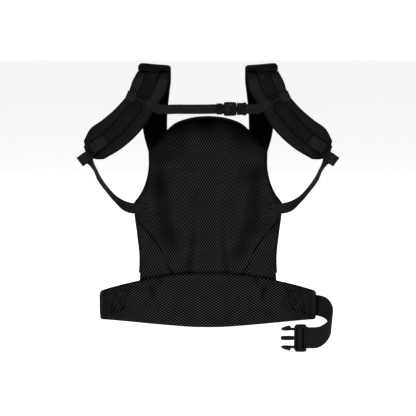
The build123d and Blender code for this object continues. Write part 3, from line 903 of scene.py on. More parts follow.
# --- belt ---------------------------------------------------------------------------------------
@dataclass
class Belt:
    """Padded waist belt in three parts: a middle and two wings, with a soft crease where the panel ends."""

    below: float = 68.8
    above: float = 66.5
    corner: tuple[float, float] = (163.0, 52.5)
    tip: float = 254.5
    tip_low: float = -28.0
    tip_high: float = 40.5
    tip_round: float = 6.0
    deep: float = 14.0
    seam_depth: float = 7.0
    split: float = 131.0
    fold: tuple[float, float] = (148.0, 178.0)
    anchor_box: tuple = ((222.0, 33.5), (191.5, 31.0), (202.0, -12.0), (230.0, -15.0))
    anchor_centre: tuple[float, float] = (211.0, 9.0)
    web_height: float = 3.5
    web_wide: float = 50.0
    rows: int = 72
    flat: Array = field(init=False)
    front: Array = field(init=False)

    def arc(self, x: Array, peak: float, edge: tuple[float, float]) -> Array:
        """Height of the arc through a peak over the centre and an edge point."""
        drop = abs(peak - edge[1])
        radius = (edge[0] ** 2 + drop**2) / (2 * drop)
        return peak - math.copysign(1.0, peak - edge[1]) * (radius - np.sqrt(radius**2 - x**2))

    def rounding(self, x: Array) -> Array:
        """How far the tip's round corners cut into the end."""
        into = np.clip(np.abs(x) - (self.tip - self.tip_round), 0, self.tip_round)
        return self.tip_round - np.sqrt(self.tip_round**2 - into**2)

    def low(self, x: Array) -> Array:
        """Lower edge."""
        return self.arc(x, -self.below, (self.tip, self.tip_low)) + self.rounding(x)

    def high(self, x: Array) -> Array:
        """Upper edge, which is the panel's seam in the middle."""
        middle = self.arc(np.clip(x, -self.corner[0], self.corner[0]), self.above, self.corner)
        share = np.clip((np.abs(x) - self.corner[0]) / (self.tip - self.corner[0]), 0, 1)
        return middle + (self.tip_high - self.corner[1]) * share - self.rounding(x)

    def lay_out(self, columns: Array, rows: int) -> Array:
        """Flat grid between the edges at some columns."""
        share = np.linspace(0, 1, rows)[:, None]
        low, high = self.low(columns), self.high(columns)
        return np.stack([np.broadcast_to(columns, (rows, len(columns))), low + (high - low) * share], -1)

    def columns(self, step: float) -> Array:
        """Column places, closer together round the tips."""
        inner = self.tip - self.tip_round
        bend = inner + self.tip_round * np.sin(np.linspace(0, math.pi / 2, 11))[1:]
        half = np.concatenate([np.arange(0, self.split, step), [self.split]])
        half = np.concatenate(
            [half, np.linspace(self.split, inner, int((inner - self.split) / step) + 1)[1:], bend]
        )
        return np.concatenate([-half[:0:-1], half])

    def depths(self, flat: Array) -> tuple[Array, Array]:
        """Offsets of the front and back faces, with their creases and the sewn box."""
        x, z = flat[..., 0], flat[..., 1]
        edge = np.minimum(np.minimum(z - self.low(x), self.high(x) - z), self.tip - np.abs(x) + 0.01)
        front = self.seam_depth * (1 - crown(edge, 13.0)) + 0.35 * unevenness(x, z, 70.0, 3)
        back = self.seam_depth + (self.deep - self.seam_depth) * crown(edge, 9.0)
        away = np.abs(x)
        front += 4.0 * hump(away - 133 - 0.15 * (z - 20), 13) * hump(z - 20, 42)
        front += 2.4 * hump(away - 118 + 0.3 * (z - 48), 11) * hump(z - 50, 26)
        front += 2.6 * hump(away - 240 + 0.2 * z, 10) * hump(z - 8, 46)
        flat_right = np.stack([away, z], -1)
        for line in box_cross(self.anchor_box):
            front += 3.0 * hump(line_distance(flat_right, line), 4.6)
        centre = np.linalg.norm(flat_right - np.array(self.anchor_centre), axis=-1)
        front += 3.4 * hump(centre, 40.0)
        pull = np.cos((z + 0.55 * (away - 190)) / 2.3) * hump(z + 21, 11) * hump(away - 212, 30)
        return front + 1.1 * pull, back

    def dark(self, flat: Array) -> Array:
        """Painted shade in the folds, in the sewn box's lines and round the box, near the tips and along the
        edges, and a little more towards the wings, 0 to 1.
        """
        away, z = np.abs(flat[..., 0]), flat[..., 1]
        place = np.stack([away, z], -1)
        box = np.linalg.norm((place - np.array(self.anchor_centre)) / np.array([1.0, 1.25]), axis=-1)
        found = 0.18 * hump(np.abs(box - 27), 15.0) + 0.3 * hump(away - 243, 9.0)
        found += 0.5 * hump(line_distance(place, np.concatenate(box_cross(self.anchor_box))), 4.4)
        found += 0.6 * hump(away - 133 - 0.15 * (z - 20), 12) * hump(z - 22, 34)
        found += 0.4 * hump(away - 118 + 0.3 * (z - 48), 11) * hump(z - 50, 26)
        found += 0.02 * np.clip((away - 120) / 60, 0, 1)
        edge = np.minimum(z - self.low(away), self.high(away) - z)
        found += 0.6 * hump(edge, 5.0)
        return np.clip(found, 0, 0.95)

    def build(self) -> None:
        """Make the mesh face, padding, stiffener, outer cover and the webbing's sewn ends."""
        columns = self.columns(2.0)
        flat = self.lay_out(columns, self.rows)
        front, back = self.depths(flat)
        front_points, back_points = WRAP.points(flat, front), WRAP.points(flat, back)
        coarse = self.lay_out(self.columns(7.0), 19)
        held = np.minimum(edge_distance(coarse), 9.0) < 1.0
        away = np.stack([np.abs(coarse[..., 0]), coarse[..., 1]], -1)
        held |= np.linalg.norm(away - np.array(self.anchor_centre), axis=-1) < 22
        rest = self.depths(coarse)
        move = Stuffing(cap=2.5).swell(
            WRAP.points(coarse, rest[0] + 0.6), WRAP.points(coarse, rest[1] - 0.6), held
        )
        front_points = front_points + finer(move[0], *flat.shape[:2])
        back_points = back_points + finer(move[1], *flat.shape[:2])
        edge = crown(edge_distance(flat), 6.0)[..., None]
        gap = back_points - front_points
        inward = gap / np.linalg.norm(gap, axis=-1, keepdims=True).clip(0.1)
        inside = front_points + inward * (0.2 + 2.0 * edge)
        outside = back_points - inward * (0.2 + 1.2 * edge)
        # The third value is the painted shade in the folds, round the sewn boxes and along the edges.
        cloth = np.dstack([WRAP.cloth(flat), self.dark(flat)])
        self.flat, self.front = flat, front_points
        for word, low, high, nodes in self.parts():
            cut = slice(int(np.searchsorted(columns, low - 0.01)), int(np.searchsorted(columns, high + 0.01)))
            face = Layer(front_points[:, cut], inside[:, cut], cloth[:, cut])
            cover = Layer(outside[:, cut], back_points[:, cut], cloth[:, cut])
            foam = Layer(
                inside[:, cut] + inward[:, cut] * 0.1, outside[:, cut] - inward[:, cut] * 0.1, cloth[:, cut]
            )
            made = (
                face.sheet(f"belt_mesh_face_{word}", Kit.belt_mesh, Hold.STRETCHED, [nodes[1]]),
                foam.padding(f"belt_padding_{word}", 0.7),
                cover.sheet(f"belt_outer_cover_{word}", Kit.shell, Hold.STRETCHED, [nodes[1]]),
            )
            for piece, node in zip(made, nodes):
                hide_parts(node)
                self.attach(piece, word)
        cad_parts["belt_stiffener"].data.materials.clear()
        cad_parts["belt_stiffener"].data.materials.append(Kit.stiffener.material())
        for side in Side:
            self.sew_anchor(side)

    def parts(self) -> list[tuple[str, float, float, tuple[str, str, str]]]:
        """Each part's name, columns and the nodes that it stands for."""
        middle = ("belt_mesh_centre", "belt_foam_centre", "belt_cover_centre")
        found = [("centre", -self.split, self.split, middle)]
        for side in Side:
            low, high = sorted((side.value * self.split, side.value * self.tip))
            nodes = tuple(f"wing_{kind}_{side.word}" for kind in ("mesh", "foam", "cover"))
            found.append((side.word, low, high, nodes))
        return found

    def attach(self, piece: bpy.types.Object, word: str) -> None:
        """Fix the middle to the harness, and bake a wing's placement into its mesh."""
        if word == "centre":
            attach(piece, "harness")
            return
        way = Side[word.upper()].value
        depth = self.seam_depth
        start, end = (
            (way * x * MM, float(WRAP.depth(np.array(x), depth)) * MM, self.web_height * MM) for x in self.fold
        )
        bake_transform(piece)
        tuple(start)
        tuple(end)

    def sew_anchor(self, side: Side) -> None:
        """The webbing's end on the outer side, and its boxed cross through the whole belt."""
        x = np.linspace(self.tip - 55.0, self.tip - 0.5, 24)
        line = np.stack([x, WRAP.depth(x, self.deep + 1.0), np.full_like(x, self.web_height)], -1)
        section = tape_section(self.web_wide, 1.5)
        tape = sweep(f"waist_web_sewn_end_{side.word}", side.place(line), section, UPRIGHT, Kit.webbing)
        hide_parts(f"waist_anchor_{side.word}")
        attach(tape, f"wing_{side.word}")
        rows = []
        for line in box_cross(self.anchor_box):
            rows.append(on_surface(self.flat, self.front, side.flat(line), 0.25))
        stitches = Seam().sew(f"belt_box_stitches_{side.word}", rows)
        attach(stitches, f"wing_{side.word}")


# --- panel --------------------------------------------------------------------------------------
@dataclass
class Panel:
    """Body panel: mesh face in three pieces, padding, outer shell and a bound edge."""

    belt: Belt
    deep: float = 10.0
    seam_depth: float = 5.0
    hip: tuple[float, float] = (173.8, 240.0)
    gusset_top: tuple[float, float] = (171.8, 207.0)
    gusset_foot: float = 84.0
    strap_outer: tuple[float, float] = (138.5, 359.0)
    strap_inner: tuple[float, float] = (98.0, 409.0)
    top: float = 443.0
    binding_from: float = 71.0
    anchor: tuple = ((149.0, 219.0), (174.0, 219.0), (174.0, 241.0), (149.0, 241.0))
    valley_path: tuple = ((119.0, 335.0), (116.0, 285.0), (110.0, 232.0), (95.0, 168.0), (80.0, 108.0))
    dart_path: tuple = ((33.0, 205.0), (36.0, 150.0), (45.0, 72.0))
    creases: tuple = (
        ((112.0, 372.0), (78.0, 318.0), 3.0),
        ((126.0, 352.0), (116.0, 296.0), 2.4),
        ((104.0, 398.0), (52.0, 372.0), 2.4),
    )
    quilting: tuple[float, ...] = (0.0, 62.0, 118.0)

    def side_low(self) -> Array:
        """Right edge from the belt to the hip."""
        return through([(164.5, 52.5), (161.8, 109.5), (167.3, 170.0), self.gusset_top, self.hip], 90)

    def armhole(self) -> Array:
        """Right edge from the hip to the strap."""
        return through([self.hip, (157.0, 263.0), (144.8, 292.0), (138.6, 325.0), self.strap_outer], 70)

    def dome(self) -> Array:
        """Rounded top edge, right to left."""
        right = [self.strap_inner, (75.5, 427.2), (38.0, 439.5)]
        return through([*right, (0.0, self.top), *mirrored(right)], 90)

    def gusset(self) -> Array:
        """Seam between the middle and the side piece of the mesh, from the belt up."""
        foot = (self.gusset_foot, float(self.belt.high(np.array(self.gusset_foot))))
        return through([foot, (97.0, 90.0), (123.5, 143.0), (149.5, 176.5), self.gusset_top], 70)

    def seam(self, half: float, count: int) -> Array:
        """Line along the belt's upper edge, left to right."""
        x = np.linspace(-half, half, count)
        return np.column_stack([x, self.belt.high(x) + 0.1])

    def middle_grid(self, rows: int, cols: int) -> Array:
        """Flat grid of the middle piece of the mesh."""
        low = self.side_low()
        upper = low[low[:, 1] > self.gusset_top[1]]
        right = evenly(np.concatenate([self.gusset(), upper, self.armhole()[1:]]), rows)
        return self.fill(right, self.seam(self.gusset_foot, cols), cols)

    def whole_grid(self, rows: int, cols: int) -> Array:
        """Flat grid of the whole panel."""
        right = evenly(np.concatenate([self.side_low(), self.armhole()[1:]]), rows)
        return self.fill(right, self.seam(163.0, cols), cols)

    def fill(self, right: Array, bottom: Array, cols: int) -> Array:
        """Grid between a right edge and its mirror image, the belt's seam and the top edge."""
        cut = np.array([self.strap_outer, self.strap_inner])
        top = evenly(np.concatenate([cut, self.dome()[1:], mirrored(cut.tolist())[1:]]), cols)[::-1]
        return patch(bottom, top, Side.LEFT.flat(right), right)

    def outline(self) -> Array:
        """The free edge: right side, armhole, strap end, dome and down the left."""
        right = np.concatenate(
            [
                self.side_low(), self.armhole()[1:],
                evenly(np.array([self.strap_outer, self.strap_inner]), 30)[1:],
            ]
        )
        return np.concatenate([right, self.dome()[1:-1], Side.LEFT.flat(right[::-1])])

    def relief(self, flat: Array) -> Array:
        """How far the mesh face lies behind the wrapped inner face."""
        x, z = flat[..., 0], flat[..., 1]
        away = np.stack([np.abs(x), z], -1)
        edge = line_distance(flat, self.outline())
        offset = self.seam_depth * (1 - crown(edge, 9.0))
        offset -= 6.5 * np.exp(-((x / 88) ** 2 + ((z - 215) / 120) ** 2))
        valley = self.valley()
        ends = np.clip((z - 95) / 60, 0, 1) * np.clip((345 - z) / 70, 0, 1)
        offset += 8.0 * hump(line_distance(away, valley), 21.0) * ends
        offset -= 2.6 * hump(line_distance(away, valley + np.array([23.0, 0.0])), 17.0) * hump(z - 220, 130)
        offset += 3.0 * hump(line_distance(away, self.dart()), 11.0) * np.clip((210 - z) / 90, 0, 1)
        offset += 3.2 * hump(line_distance(away, self.gusset()), 5.5)
        offset += 4.2 * hump(z - self.belt.high(x), 13.0)
        offset += 2.2 * hump(line_distance(away, self.anchor_box()), 5.0)
        for foot, head, depth in self.creases:
            offset += depth * hump(line_distance(away, evenly(np.array([foot, head]), 30)), 8.0)
        return offset + 0.5 * unevenness(x, z, 85.0, 11)

    def dark(self, flat: Array) -> Array:
        """Painted shade in the valleys, darts and seams, along the edges, in the sewn box and over the top of
        the face, with a little random unevenness, 0 to 1.
        """
        x, z = flat[..., 0], flat[..., 1]
        away = np.stack([np.abs(x), z], -1)
        valley = line_distance(away, self.valley())
        found = 0.52 * hump(valley, 34.0) * np.clip((z - 90) / 40, 0, 1) * np.clip((352 - z) / 50, 0, 1)
        # Painted shade: the top of the face darker towards its upper edge.
        found += 0.8 * np.clip((z - 372) / 66, 0, 1) ** 0.8
        found += 0.28 * np.clip((np.abs(x) - 40) / 60, 0, 1) * np.clip((z - 300) / 60, 0, 1)
        found += 0.35 * hump(line_distance(away, self.dart()), 12.0)
        found += 0.6 * hump(line_distance(away, self.gusset()), 4.2)
        found += 0.7 * hump(z - self.belt.high(x), 9.0)
        found += 0.45 * hump(line_distance(flat, self.outline()), 8.0)
        found += 0.5 * hump(line_distance(away, self.anchor_box()), 3.6)
        found += 0.16 * unevenness(x, z, 60.0, 4)
        return np.clip(found, 0, 0.95)

    def valley(self) -> Array:
        """Long soft fold beside the padded middle."""
        return through(self.valley_path, 50)

    def dart(self) -> Array:
        """Short fold that rises from the belt's seam."""
        return through(self.dart_path, 40)

    def anchor_box(self) -> Array:
        """Where the side webbing's end is sewn."""
        return np.concatenate(box_cross(self.anchor))

    def face_layer(self, flat: Array) -> Layer:
        """Mesh layer over a flat grid."""
        offset = self.relief(flat)
        rim = crown(line_distance(flat, self.outline()), 5.0)
        # The third value is the painted shade of the valleys, seams, edges and top.
        cloth = np.dstack([WRAP.cloth(flat), self.dark(flat)])
        return Layer(WRAP.points(flat, offset), WRAP.points(flat, offset + 0.3 + 1.9 * rim), cloth)

    def build(self) -> None:
        """Make every layer of the panel, its binding and its seams."""
        flat = self.middle_grid(210, 170)
        self.dress(self.face_layer(flat), "panel_mesh_middle", Kit.panel_mesh, "panel_mesh")
        for side in Side:
            seam, edge = self.gusset(), self.side_low()
            edge = edge[edge[:, 1] <= self.gusset_top[1]]
            share = np.linspace(0, 1, 56)[None, :, None]
            grid = evenly(seam, 90)[:, None] * (1 - share) + evenly(edge, 90)[:, None] * share
            grid[0, :, 1] = self.belt.high(grid[0, :, 0]) + 0.1
            grid = side.flat(grid[:-1])
            self.dress(
                self.face_layer(grid), f"panel_mesh_side_{side.word}", Kit.side_mesh, f"side_mesh_{side.word}"
            )
        whole = self.whole_grid(110, 96)
        rim = line_distance(whole, self.outline())
        back = self.seam_depth + 0.2 + (self.deep - self.seam_depth) * crown(rim, 9.0)
        back += 0.5 * unevenness(whole[..., 0], whole[..., 1], 90.0, 21)
        back -= 2.2 * hump(whole[..., 1] - self.belt.high(whole[..., 0]), 12.0)
        for across in self.quilting:
            quilt = np.abs(np.abs(whole[..., 0]) - across * (1 - (whole[..., 1] - 60) / 900))
            back -= 1.0 * hump(quilt, 6.0) * crown(rim, 20.0)
        shell = Layer(
            WRAP.points(whole, back - 0.2 - 1.2 * crown(rim, 5.0)), WRAP.points(whole, back), WRAP.cloth(whole)
        )
        self.dress(shell, "panel_outer_shell", Kit.shell, "panel_shell")
        inner = self.relief(whole) + 0.4 + 1.9 * crown(rim, 5.0)
        foam = Layer(
            WRAP.points(whole, inner), WRAP.points(whole, np.maximum(back - 1.7, inner + 0.05)),
            WRAP.cloth(whole),
        )
        padding = foam.padding("panel_soft_padding", 0.5)
        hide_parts("panel_padding")
        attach(padding, "harness")
        self.bind()
        self.stitch(flat, whole, back)

    def dress(self, layer: Layer, name: str, finish: Finish, node: str) -> None:
        """Make one fabric layer and fix it to the harness."""
        made = layer.sheet(name, finish, Hold.STRETCHED)
        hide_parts(node)
        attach(made, "harness")

    def bind(self) -> None:
        """Tape folded over the free edge."""
        edge = evenly(self.outline(), 460)
        keep = edge[:, 1] > self.binding_from
        line = WRAP.points(edge[keep], self.seam_depth + 0.3)
        run = np.gradient(edge[keep], axis=0)
        across = np.column_stack([run[:, 1], np.zeros(len(run)), -run[:, 0]])
        pucker = 1 + 0.05 * np.sin(np.arange(len(line)) * 1.9)
        section = oval_section(3.1, 4.4)[None] * pucker[:, None, None]
        tape = sweep("panel_edge_binding", line, section, across, Kit.binding)
        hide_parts("panel_binding")
        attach(tape, "harness")

    def stitch(self, flat: Array, whole: Array, back: Array) -> None:
        """Rows of stitches: along the binding, the gussets and the sewn webbing ends."""
        surface = WRAP.points(flat, self.relief(flat))
        rows = []
        for side in Side:
            for line in box_cross(self.anchor):
                rows.append(on_surface(flat, surface, side.flat(line), 0.3))
            seam = evenly(self.gusset()[4:-3] + np.array([-3.2, 2.6]), 60)
            rows.append(on_surface(flat, surface, side.flat(seam), 0.3))
        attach(Seam().sew("panel_face_stitches", rows), "harness")
        outer = WRAP.points(whole, back)
        inset = self.outline() * np.array([0.955, 1.0]) - np.array([0.0, 3.5])
        inset = inset[inset[:, 1] > self.binding_from + 6]
        line, out = on_surface(whole, outer, evenly(inset, 420), -0.3)
        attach(Seam().sew("panel_shell_stitches", [(line, -out)]), "harness")


@dataclass
class PanelTab:
    """Mesh-covered end of the side webbing, sewn on the panel's corner."""

    side: Side
    low: tuple[float, float] = (148.0, 217.8)
    high: tuple[float, float] = (174.0, 241.8)
    box: tuple = ((150.5, 220.3), (171.5, 220.3), (171.5, 239.3), (150.5, 239.3))

    def build(self) -> None:
        """A thin covered tab, puffed between its stitches."""
        x, z = np.meshgrid(
            np.linspace(self.low[0], self.high[0], 28), np.linspace(self.low[1], self.high[1], 28)
        )
        flat = np.stack([x, z], -1)
        rim = crown(edge_distance(flat), 3.0)
        box = np.concatenate(box_cross(self.box))
        lift = rim * 1.3 - 0.8 * hump(line_distance(flat, box), 4.0)
        layer = Layer(WRAP.points(flat, 0.2 - lift), WRAP.points(flat, 0.6), WRAP.cloth(flat))
        made = layer.sheet(f"side_web_covered_end_{self.side.word}", Kit.side_mesh, Hold.STRETCHED)
        made.data.transform(Matrix.Diagonal((self.side.value, 1, 1, 1)))
        if self.side is Side.LEFT:
            made.data.flip_normals()
        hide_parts(f"web_anchor_{self.side.word}")
        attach(made, "harness")


# --- shoulder straps ----------------------------------------------------------------------------
@dataclass
class Riser:
    """Rear strap between the panel and the fold over the shoulder."""

    side: Side
    lean: float = math.tan(math.radians(15.4))
    middle_y: float = -3.5
    middle_z: float = 385.0
    thick: float = 10.5
    outer: tuple = ((139.5, 358.0), (150.5, 404.0), (157.0, 470.0), (160.0, 525.0), (159.0, 558.0))
    inner: tuple = ((99.0, 408.0), (97.5, 453.0), (92.0, 503.0), (88.5, 530.0), (88.0, 558.0))

    def build(self) -> None:
        """Mesh front, padded shell and bound edges."""
        outer, inner = through(self.outer, 90), through(self.inner, 90)
        share = np.linspace(0, 1, 40)[None, :, None]
        flat = inner[:, None] * (1 - share) + outer[:, None] * share
        width = np.linalg.norm(outer - inner, axis=1)[:, None]
        rim = np.minimum(share[..., 0], 1 - share[..., 0]) * width
        middle = self.middle_y - (flat[..., 1] - self.middle_z) * self.lean
        swell = self.thick / 2 * crown(rim, 9.0)
        wave = 0.7 * unevenness(flat[..., 0], flat[..., 1], 45.0, 5)
        front = np.stack([flat[..., 0], middle - swell - 0.2 + wave, flat[..., 1]], -1)
        back = np.stack([flat[..., 0], middle + swell + 0.2 + wave, flat[..., 1]], -1)
        seam = np.stack([flat[..., 0], middle - swell + 0.1 + 2.2 * crown(rim, 5.0) + wave, flat[..., 1]], -1)
        cloth = np.stack([flat[..., 0], flat[..., 1]], -1)
        place = self.side.place
        face = Layer(place(front), place(seam), cloth).sheet(
            f"rear_strap_mesh_{self.side.word}", Kit.strap_mesh, Hold.STRETCHED
        )
        shell = Layer(place(seam + np.array([0, 0.1, 0])), place(back), cloth)
        body = shell.piece(f"rear_strap_shell_{self.side.word}", Kit.shell)
        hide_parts(f"riser_mesh_{self.side.word}")
        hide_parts(f"riser_shell_{self.side.word}")
        for piece in (face, body, self.bind(outer, "outer"), self.bind(inner, "inner")):
            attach(piece, "harness")

    def bind(self, edge: Array, word: str) -> bpy.types.Object:
        """Tape over one edge."""
        middle = self.middle_y - (edge[:, 1] - self.middle_z) * self.lean
        line = self.side.place(np.column_stack([edge[:, 0], middle, edge[:, 1]]))
        name = f"rear_strap_{word}_binding_{self.side.word}"
        return sweep(name, line, oval_section(2.0, 3.0, 12), HARNESS.side, Kit.binding)


@dataclass
class ShoulderFold:
    """Rolled fabric where a strap folds over the shoulder, hanging over the pad's top."""

    side: Side
    inner: float = 86.0
    outer: float = 161.0
    middle: tuple[float, float] = (-61.0, 556.0)
    half_deep: float = 16.5
    thick: float = 5.0
    hem: tuple = (
        (86.0, 559.0), (95.0, 559.5), (103.0, 557.0), (112.0, 554.0), (128.0, 553.5), (139.0, 557.0),
        (150.0, 561.0), (161.0, 564.0),
    )

    def build(self) -> None:
        """One wrinkled roll over the strap's fold."""
        x = np.linspace(self.inner, self.outer, 60)[None, :]
        k = np.linspace(0, 1, 80)[:, None]
        hem = np.interp(x, *zip(*self.hem))
        tall = 11.8 + 5.4 * (x - self.inner) / (self.outer - self.inner)
        turn = np.clip(k / 0.72, 0, 1) * math.pi
        drop = np.clip((k - 0.72) / 0.28, 0, 1)
        ends = crown(np.minimum(x - self.inner, self.outer - x) + 0.3, 9.0)
        phase = 17.0 * k + 1.1 * np.sin(x / 17.0) + 0.9 * np.sin(x / 7.5 + 4 * k)
        grown = np.clip(k * 3 - 0.6, 0, 1)
        wrinkle = 1.7 * np.sin(phase) * grown * (0.55 + 0.45 * np.sin(x / 23.0))
        roll = 1.8 * hump(k - 0.88, 0.14)
        deep = (self.half_deep + wrinkle + roll) * (0.75 + 0.25 * ends)
        high = (tall + wrinkle) * (0.5 + 0.5 * ends)
        y = self.middle[0] + deep * np.cos(turn) - 1.5 * drop
        z = self.middle[1] + high * np.sin(turn) - (self.middle[1] - hem) * drop
        tuck = hump(k - 1.0, 0.05)
        outer = np.stack([np.broadcast_to(x, y.shape), y + 2.5 * tuck, z], -1)
        shrink = self.thick * (0.25 + 0.75 * ends) * np.clip((1.02 - k) * 12, 0.15, 1)
        inner = np.stack([
            np.broadcast_to(x, y.shape),
            self.middle[0] + (deep - shrink) * np.cos(turn) - 1.5 * drop + 2.5 * tuck,
            z - shrink * np.sin(turn) * 0.9,
        ], -1)
        # Painted shade in the roll's wrinkles, and painted shadow at its tucked hem.
        painted_crease_shade = np.clip(0.55 - 0.5 * np.sin(phase), 0, 1) * grown + 0.9 * hump(k - 1.0, 0.1)
        cloth = np.stack(
            [np.broadcast_to(x, y.shape), np.broadcast_to(k * 62.0, y.shape), np.clip(painted_crease_shade, 0, 0.95)], -1
        )
        roll_piece = Layer(self.side.place(outer), self.side.place(inner), cloth)
        made = roll_piece.sheet(f"shoulder_fold_{self.side.word}", Kit.shell, Hold.FOLDED)
        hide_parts(f"strap_fold_{self.side.word}")
        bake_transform(made)


@dataclass
class ShoulderPad:
    """Padded shoulder strap: ribbed cover puffed each side of a smooth band, mesh behind."""

    side: Side
    deep: float = 13.5
    band_half: float = 14.0
    cross_seam: float = 183.0
    outer: tuple = (
        (161.0, 15.5), (173.5, -8.0), (184.0, -37.0), (211.0, -70.0), (243.0, -98.0), (271.0, -119.0),
        (285.5, -146.0),
    )
    inner: tuple = (
        (89.0, 15.5), (98.0, -29.0), (127.0, -77.0), (154.0, -119.0), (197.0, -160.0), (241.0, -187.0)
    )
    tip: tuple = ((241.0, -187.0), (262.0, -186.0), (279.0, -171.0), (285.5, -146.0))
    path: tuple = (
        (124.0, 18.0), (138.0, -20.0), (156.0, -53.3), (190.0, -97.0), (216.0, -125.0), (236.0, -143.0),
        (268.0, -166.0),
    )

    def lay_out(self, rows: int, cols: int) -> Array:
        """Flat grid of the pad, from its top to its tip."""
        first = evenly(np.array([self.inner[0], self.outer[0]]), cols)
        return patch(first, through(self.tip, cols), through(self.inner, rows), through(self.outer, rows))

    def band_place(self, flat: Array) -> Array:
        """Distance along the band and, signed outward, across it."""
        line = through(self.path, 500)
        run, reach = headings(line), reaches(line)
        points = flat.reshape(-1, 2)
        near = np.concatenate(
            [np.argmin(((part[:, None] - line) ** 2).sum(2), axis=1) for part in np.array_split(points, 30)]
        )
        gap = points - line[near]
        along = reach[near] + (gap * run[near]).sum(1)
        across = gap[:, 1] * run[near, 0] - gap[:, 0] * run[near, 1]
        return np.stack([along, across], -1).reshape(flat.shape)

    def face(self, flat: Array, cloth: Array, detail: bool) -> Array:
        """Height of the cover over the pad's plane."""
        edge = edge_distance(flat)
        along, across = cloth[..., 0], cloth[..., 1]
        away = np.abs(across)
        strip = np.clip((away - self.band_half) / np.maximum(away + edge - self.band_half, 1.0), 0, 1)
        height = -self.deep / 2 * (1 - crown(edge, 13.0))
        height += 3.4 * np.sin(math.pi * strip) ** 0.75 * np.clip(edge / 6, 0, 1)
        height -= 1.2 * hump(away - self.band_half - 0.8, 3.2) + 0.4 * (away < self.band_half)
        slider_u, slider_v, slider_turn = SLIDER_PLACE
        turn = math.radians(slider_turn)
        beside = (flat[..., 1] - slider_v) * math.cos(turn) - (flat[..., 0] - slider_u) * math.sin(turn)
        beside = np.abs(beside)
        height -= np.clip(height - 0.9, 0, None) * hump(np.maximum(beside - 22, 0), 10.0)
        if not detail:
            return height
        soft = np.clip((away - self.band_half) / 4, 0, 1) * np.clip(edge / 7, 0, 1)
        below = np.clip((along - 86) / 12, 0, 1)
        ribs = np.cos(2 * math.pi * away / (5.0 + 0.6 * np.sin(along / 40)))
        height += soft * ribs * (
            0.22 + 0.75 * below * np.clip(1.25 - strip * 1.5, 0.15, 1) * np.clip((235 - along) / 40, 0, 1)
        )
        fan = np.cos(2 * math.pi * (along + 0.8 * away) / 8.5 + 0.6 * np.sin(away / 6))
        height += soft * fan * 0.75 * hump(along - 212, 38) * (across > 0)
        upper = np.cos(2 * math.pi * along / 4.4 + 0.04 * away**1.5) * hump(along - 42, 44)
        height += soft * upper * 0.2
        return height + 0.35 * unevenness(flat[..., 0], flat[..., 1], 34.0, 7) * np.clip(edge / 8, 0, 1)

    def build(self) -> None:
        """Make the cover, padding, mesh back, piped edge, band and their stitches."""
        flat = self.lay_out(230, 76)
        cloth = self.band_place(flat)
        edge = edge_distance(flat)
        front = self.face(flat, cloth, True)
        back = -self.deep / 2 - self.deep / 2 * crown(edge, 11.0)
        coarse = self.lay_out(46, 15)
        coarse_cloth = self.band_place(coarse)
        held = (edge_distance(coarse) < 0.5) | (np.abs(coarse_cloth[..., 1]) < self.band_half + 1)
        rest = self.face(coarse, coarse_cloth, False)
        coarse_back = -self.deep / 2 - self.deep / 2 * crown(edge_distance(coarse), 11.0)
        move = Stuffing(cap=3.0).swell(
            self.on(coarse, rest - 0.5), self.on(coarse, coarse_back + 0.5), held,
        )
        rim = crown(edge, 5.0)
        # The cover's third value is painted shade in its grooves and painted shadow under the fold.
        worn = np.dstack([cloth, self.dark(flat, cloth, edge)])
        shift = [finer(part, *flat.shape[:2]) * np.clip(edge / 4, 0, 1)[..., None] for part in move]
        cover = Layer(self.on(flat, front) + shift[0], self.on(flat, front - 0.2 - 1.7 * rim) + shift[0], worn)
        mesh = Layer(self.on(flat, back + 0.2 + 2.0 * rim) + shift[1], self.on(flat, back) + shift[1], cloth)
        foam = Layer(
            self.on(flat, front - 0.3 - 1.8 * rim) + shift[0], self.on(flat, back + 0.3 + 2.1 * rim) + shift[1],
            cloth,
        )
        word = self.side.word
        made = (
            self.settle(cover).sheet(f"pad_ribbed_cover_{word}", Kit.ribbed, Hold.GATHERED),
            self.settle(foam).padding(f"pad_soft_padding_{word}", 0.8),
            self.settle(mesh).sheet(f"pad_mesh_back_{word}", Kit.strap_mesh, Hold.STRETCHED),
        )
        for piece, node in zip(made, ("pad_cover", "pad_foam", "pad_mesh")):
            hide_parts(f"{node}_{word}")
            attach(piece, f"strap_{word}")
        self.pipe()
        self.lay_band()

    def dark(self, flat: Array, cloth: Array, edge: Array) -> Array:
        """Painted shade in the cover's grooves, beside its band, along its edges and near its tip, and painted
        shadow on its top under the fold, 0 to 1.
        """
        along, away = cloth[..., 0], np.abs(cloth[..., 1])
        below = np.clip((along - 80) / 14, 0, 1) * np.clip((240 - along) / 40, 0, 1)
        ribs = np.cos(2 * math.pi * away / (5.0 + 0.6 * np.sin(along / 40)))
        found = (0.24 - 0.24 * ribs) * below
        found += 0.15 - 0.15 * np.cos(2 * math.pi * along / 4.4 + 0.04 * away**1.5) * hump(along - 42, 44)
        found += 0.6 * hump(away - self.band_half - 0.5, 3.4) + 0.45 * hump(edge, 4.0)
        # Painted shadow on the pad's top under the shoulder fold, deeper on the inner side.
        inner = cloth[..., 1] < 0
        found += np.where(inner, 0.75, 0.3) * np.clip((flat[..., 1] + 6) / 18, 0, 1)
        found += 0.45 * hump(along - 238, 34.0) * (away > self.band_half)
        return np.clip(found, 0, 0.92)

    def on(self, flat: Array, height: Array | float) -> Array:
        """Points of the pad's plane at a height over it."""
        return HARNESS.point(flat[..., 0], flat[..., 1], height)

    def settle(self, layer: Layer) -> Layer:
        """A layer drawn on the right, moved to this side."""
        return Layer(self.side.place(layer.front), self.side.place(layer.back), layer.cloth)

    def pipe(self) -> None:
        """Narrow piping round the pad's seam."""
        edge = np.concatenate(
            [through(self.outer, 150), through(self.tip, 50)[::-1][1:], through(self.inner, 150)[::-1][1:]]
        )
        edge = evenly(edge, 330)
        line = self.side.place(self.on(edge, np.full(len(edge), -self.deep / 2)))
        name = f"pad_piping_{self.side.word}"
        piping = sweep(name, line, oval_section(1.5, 1.5, 10), HARNESS.out, Kit.binding)
        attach(piping, f"strap_{self.side.word}")

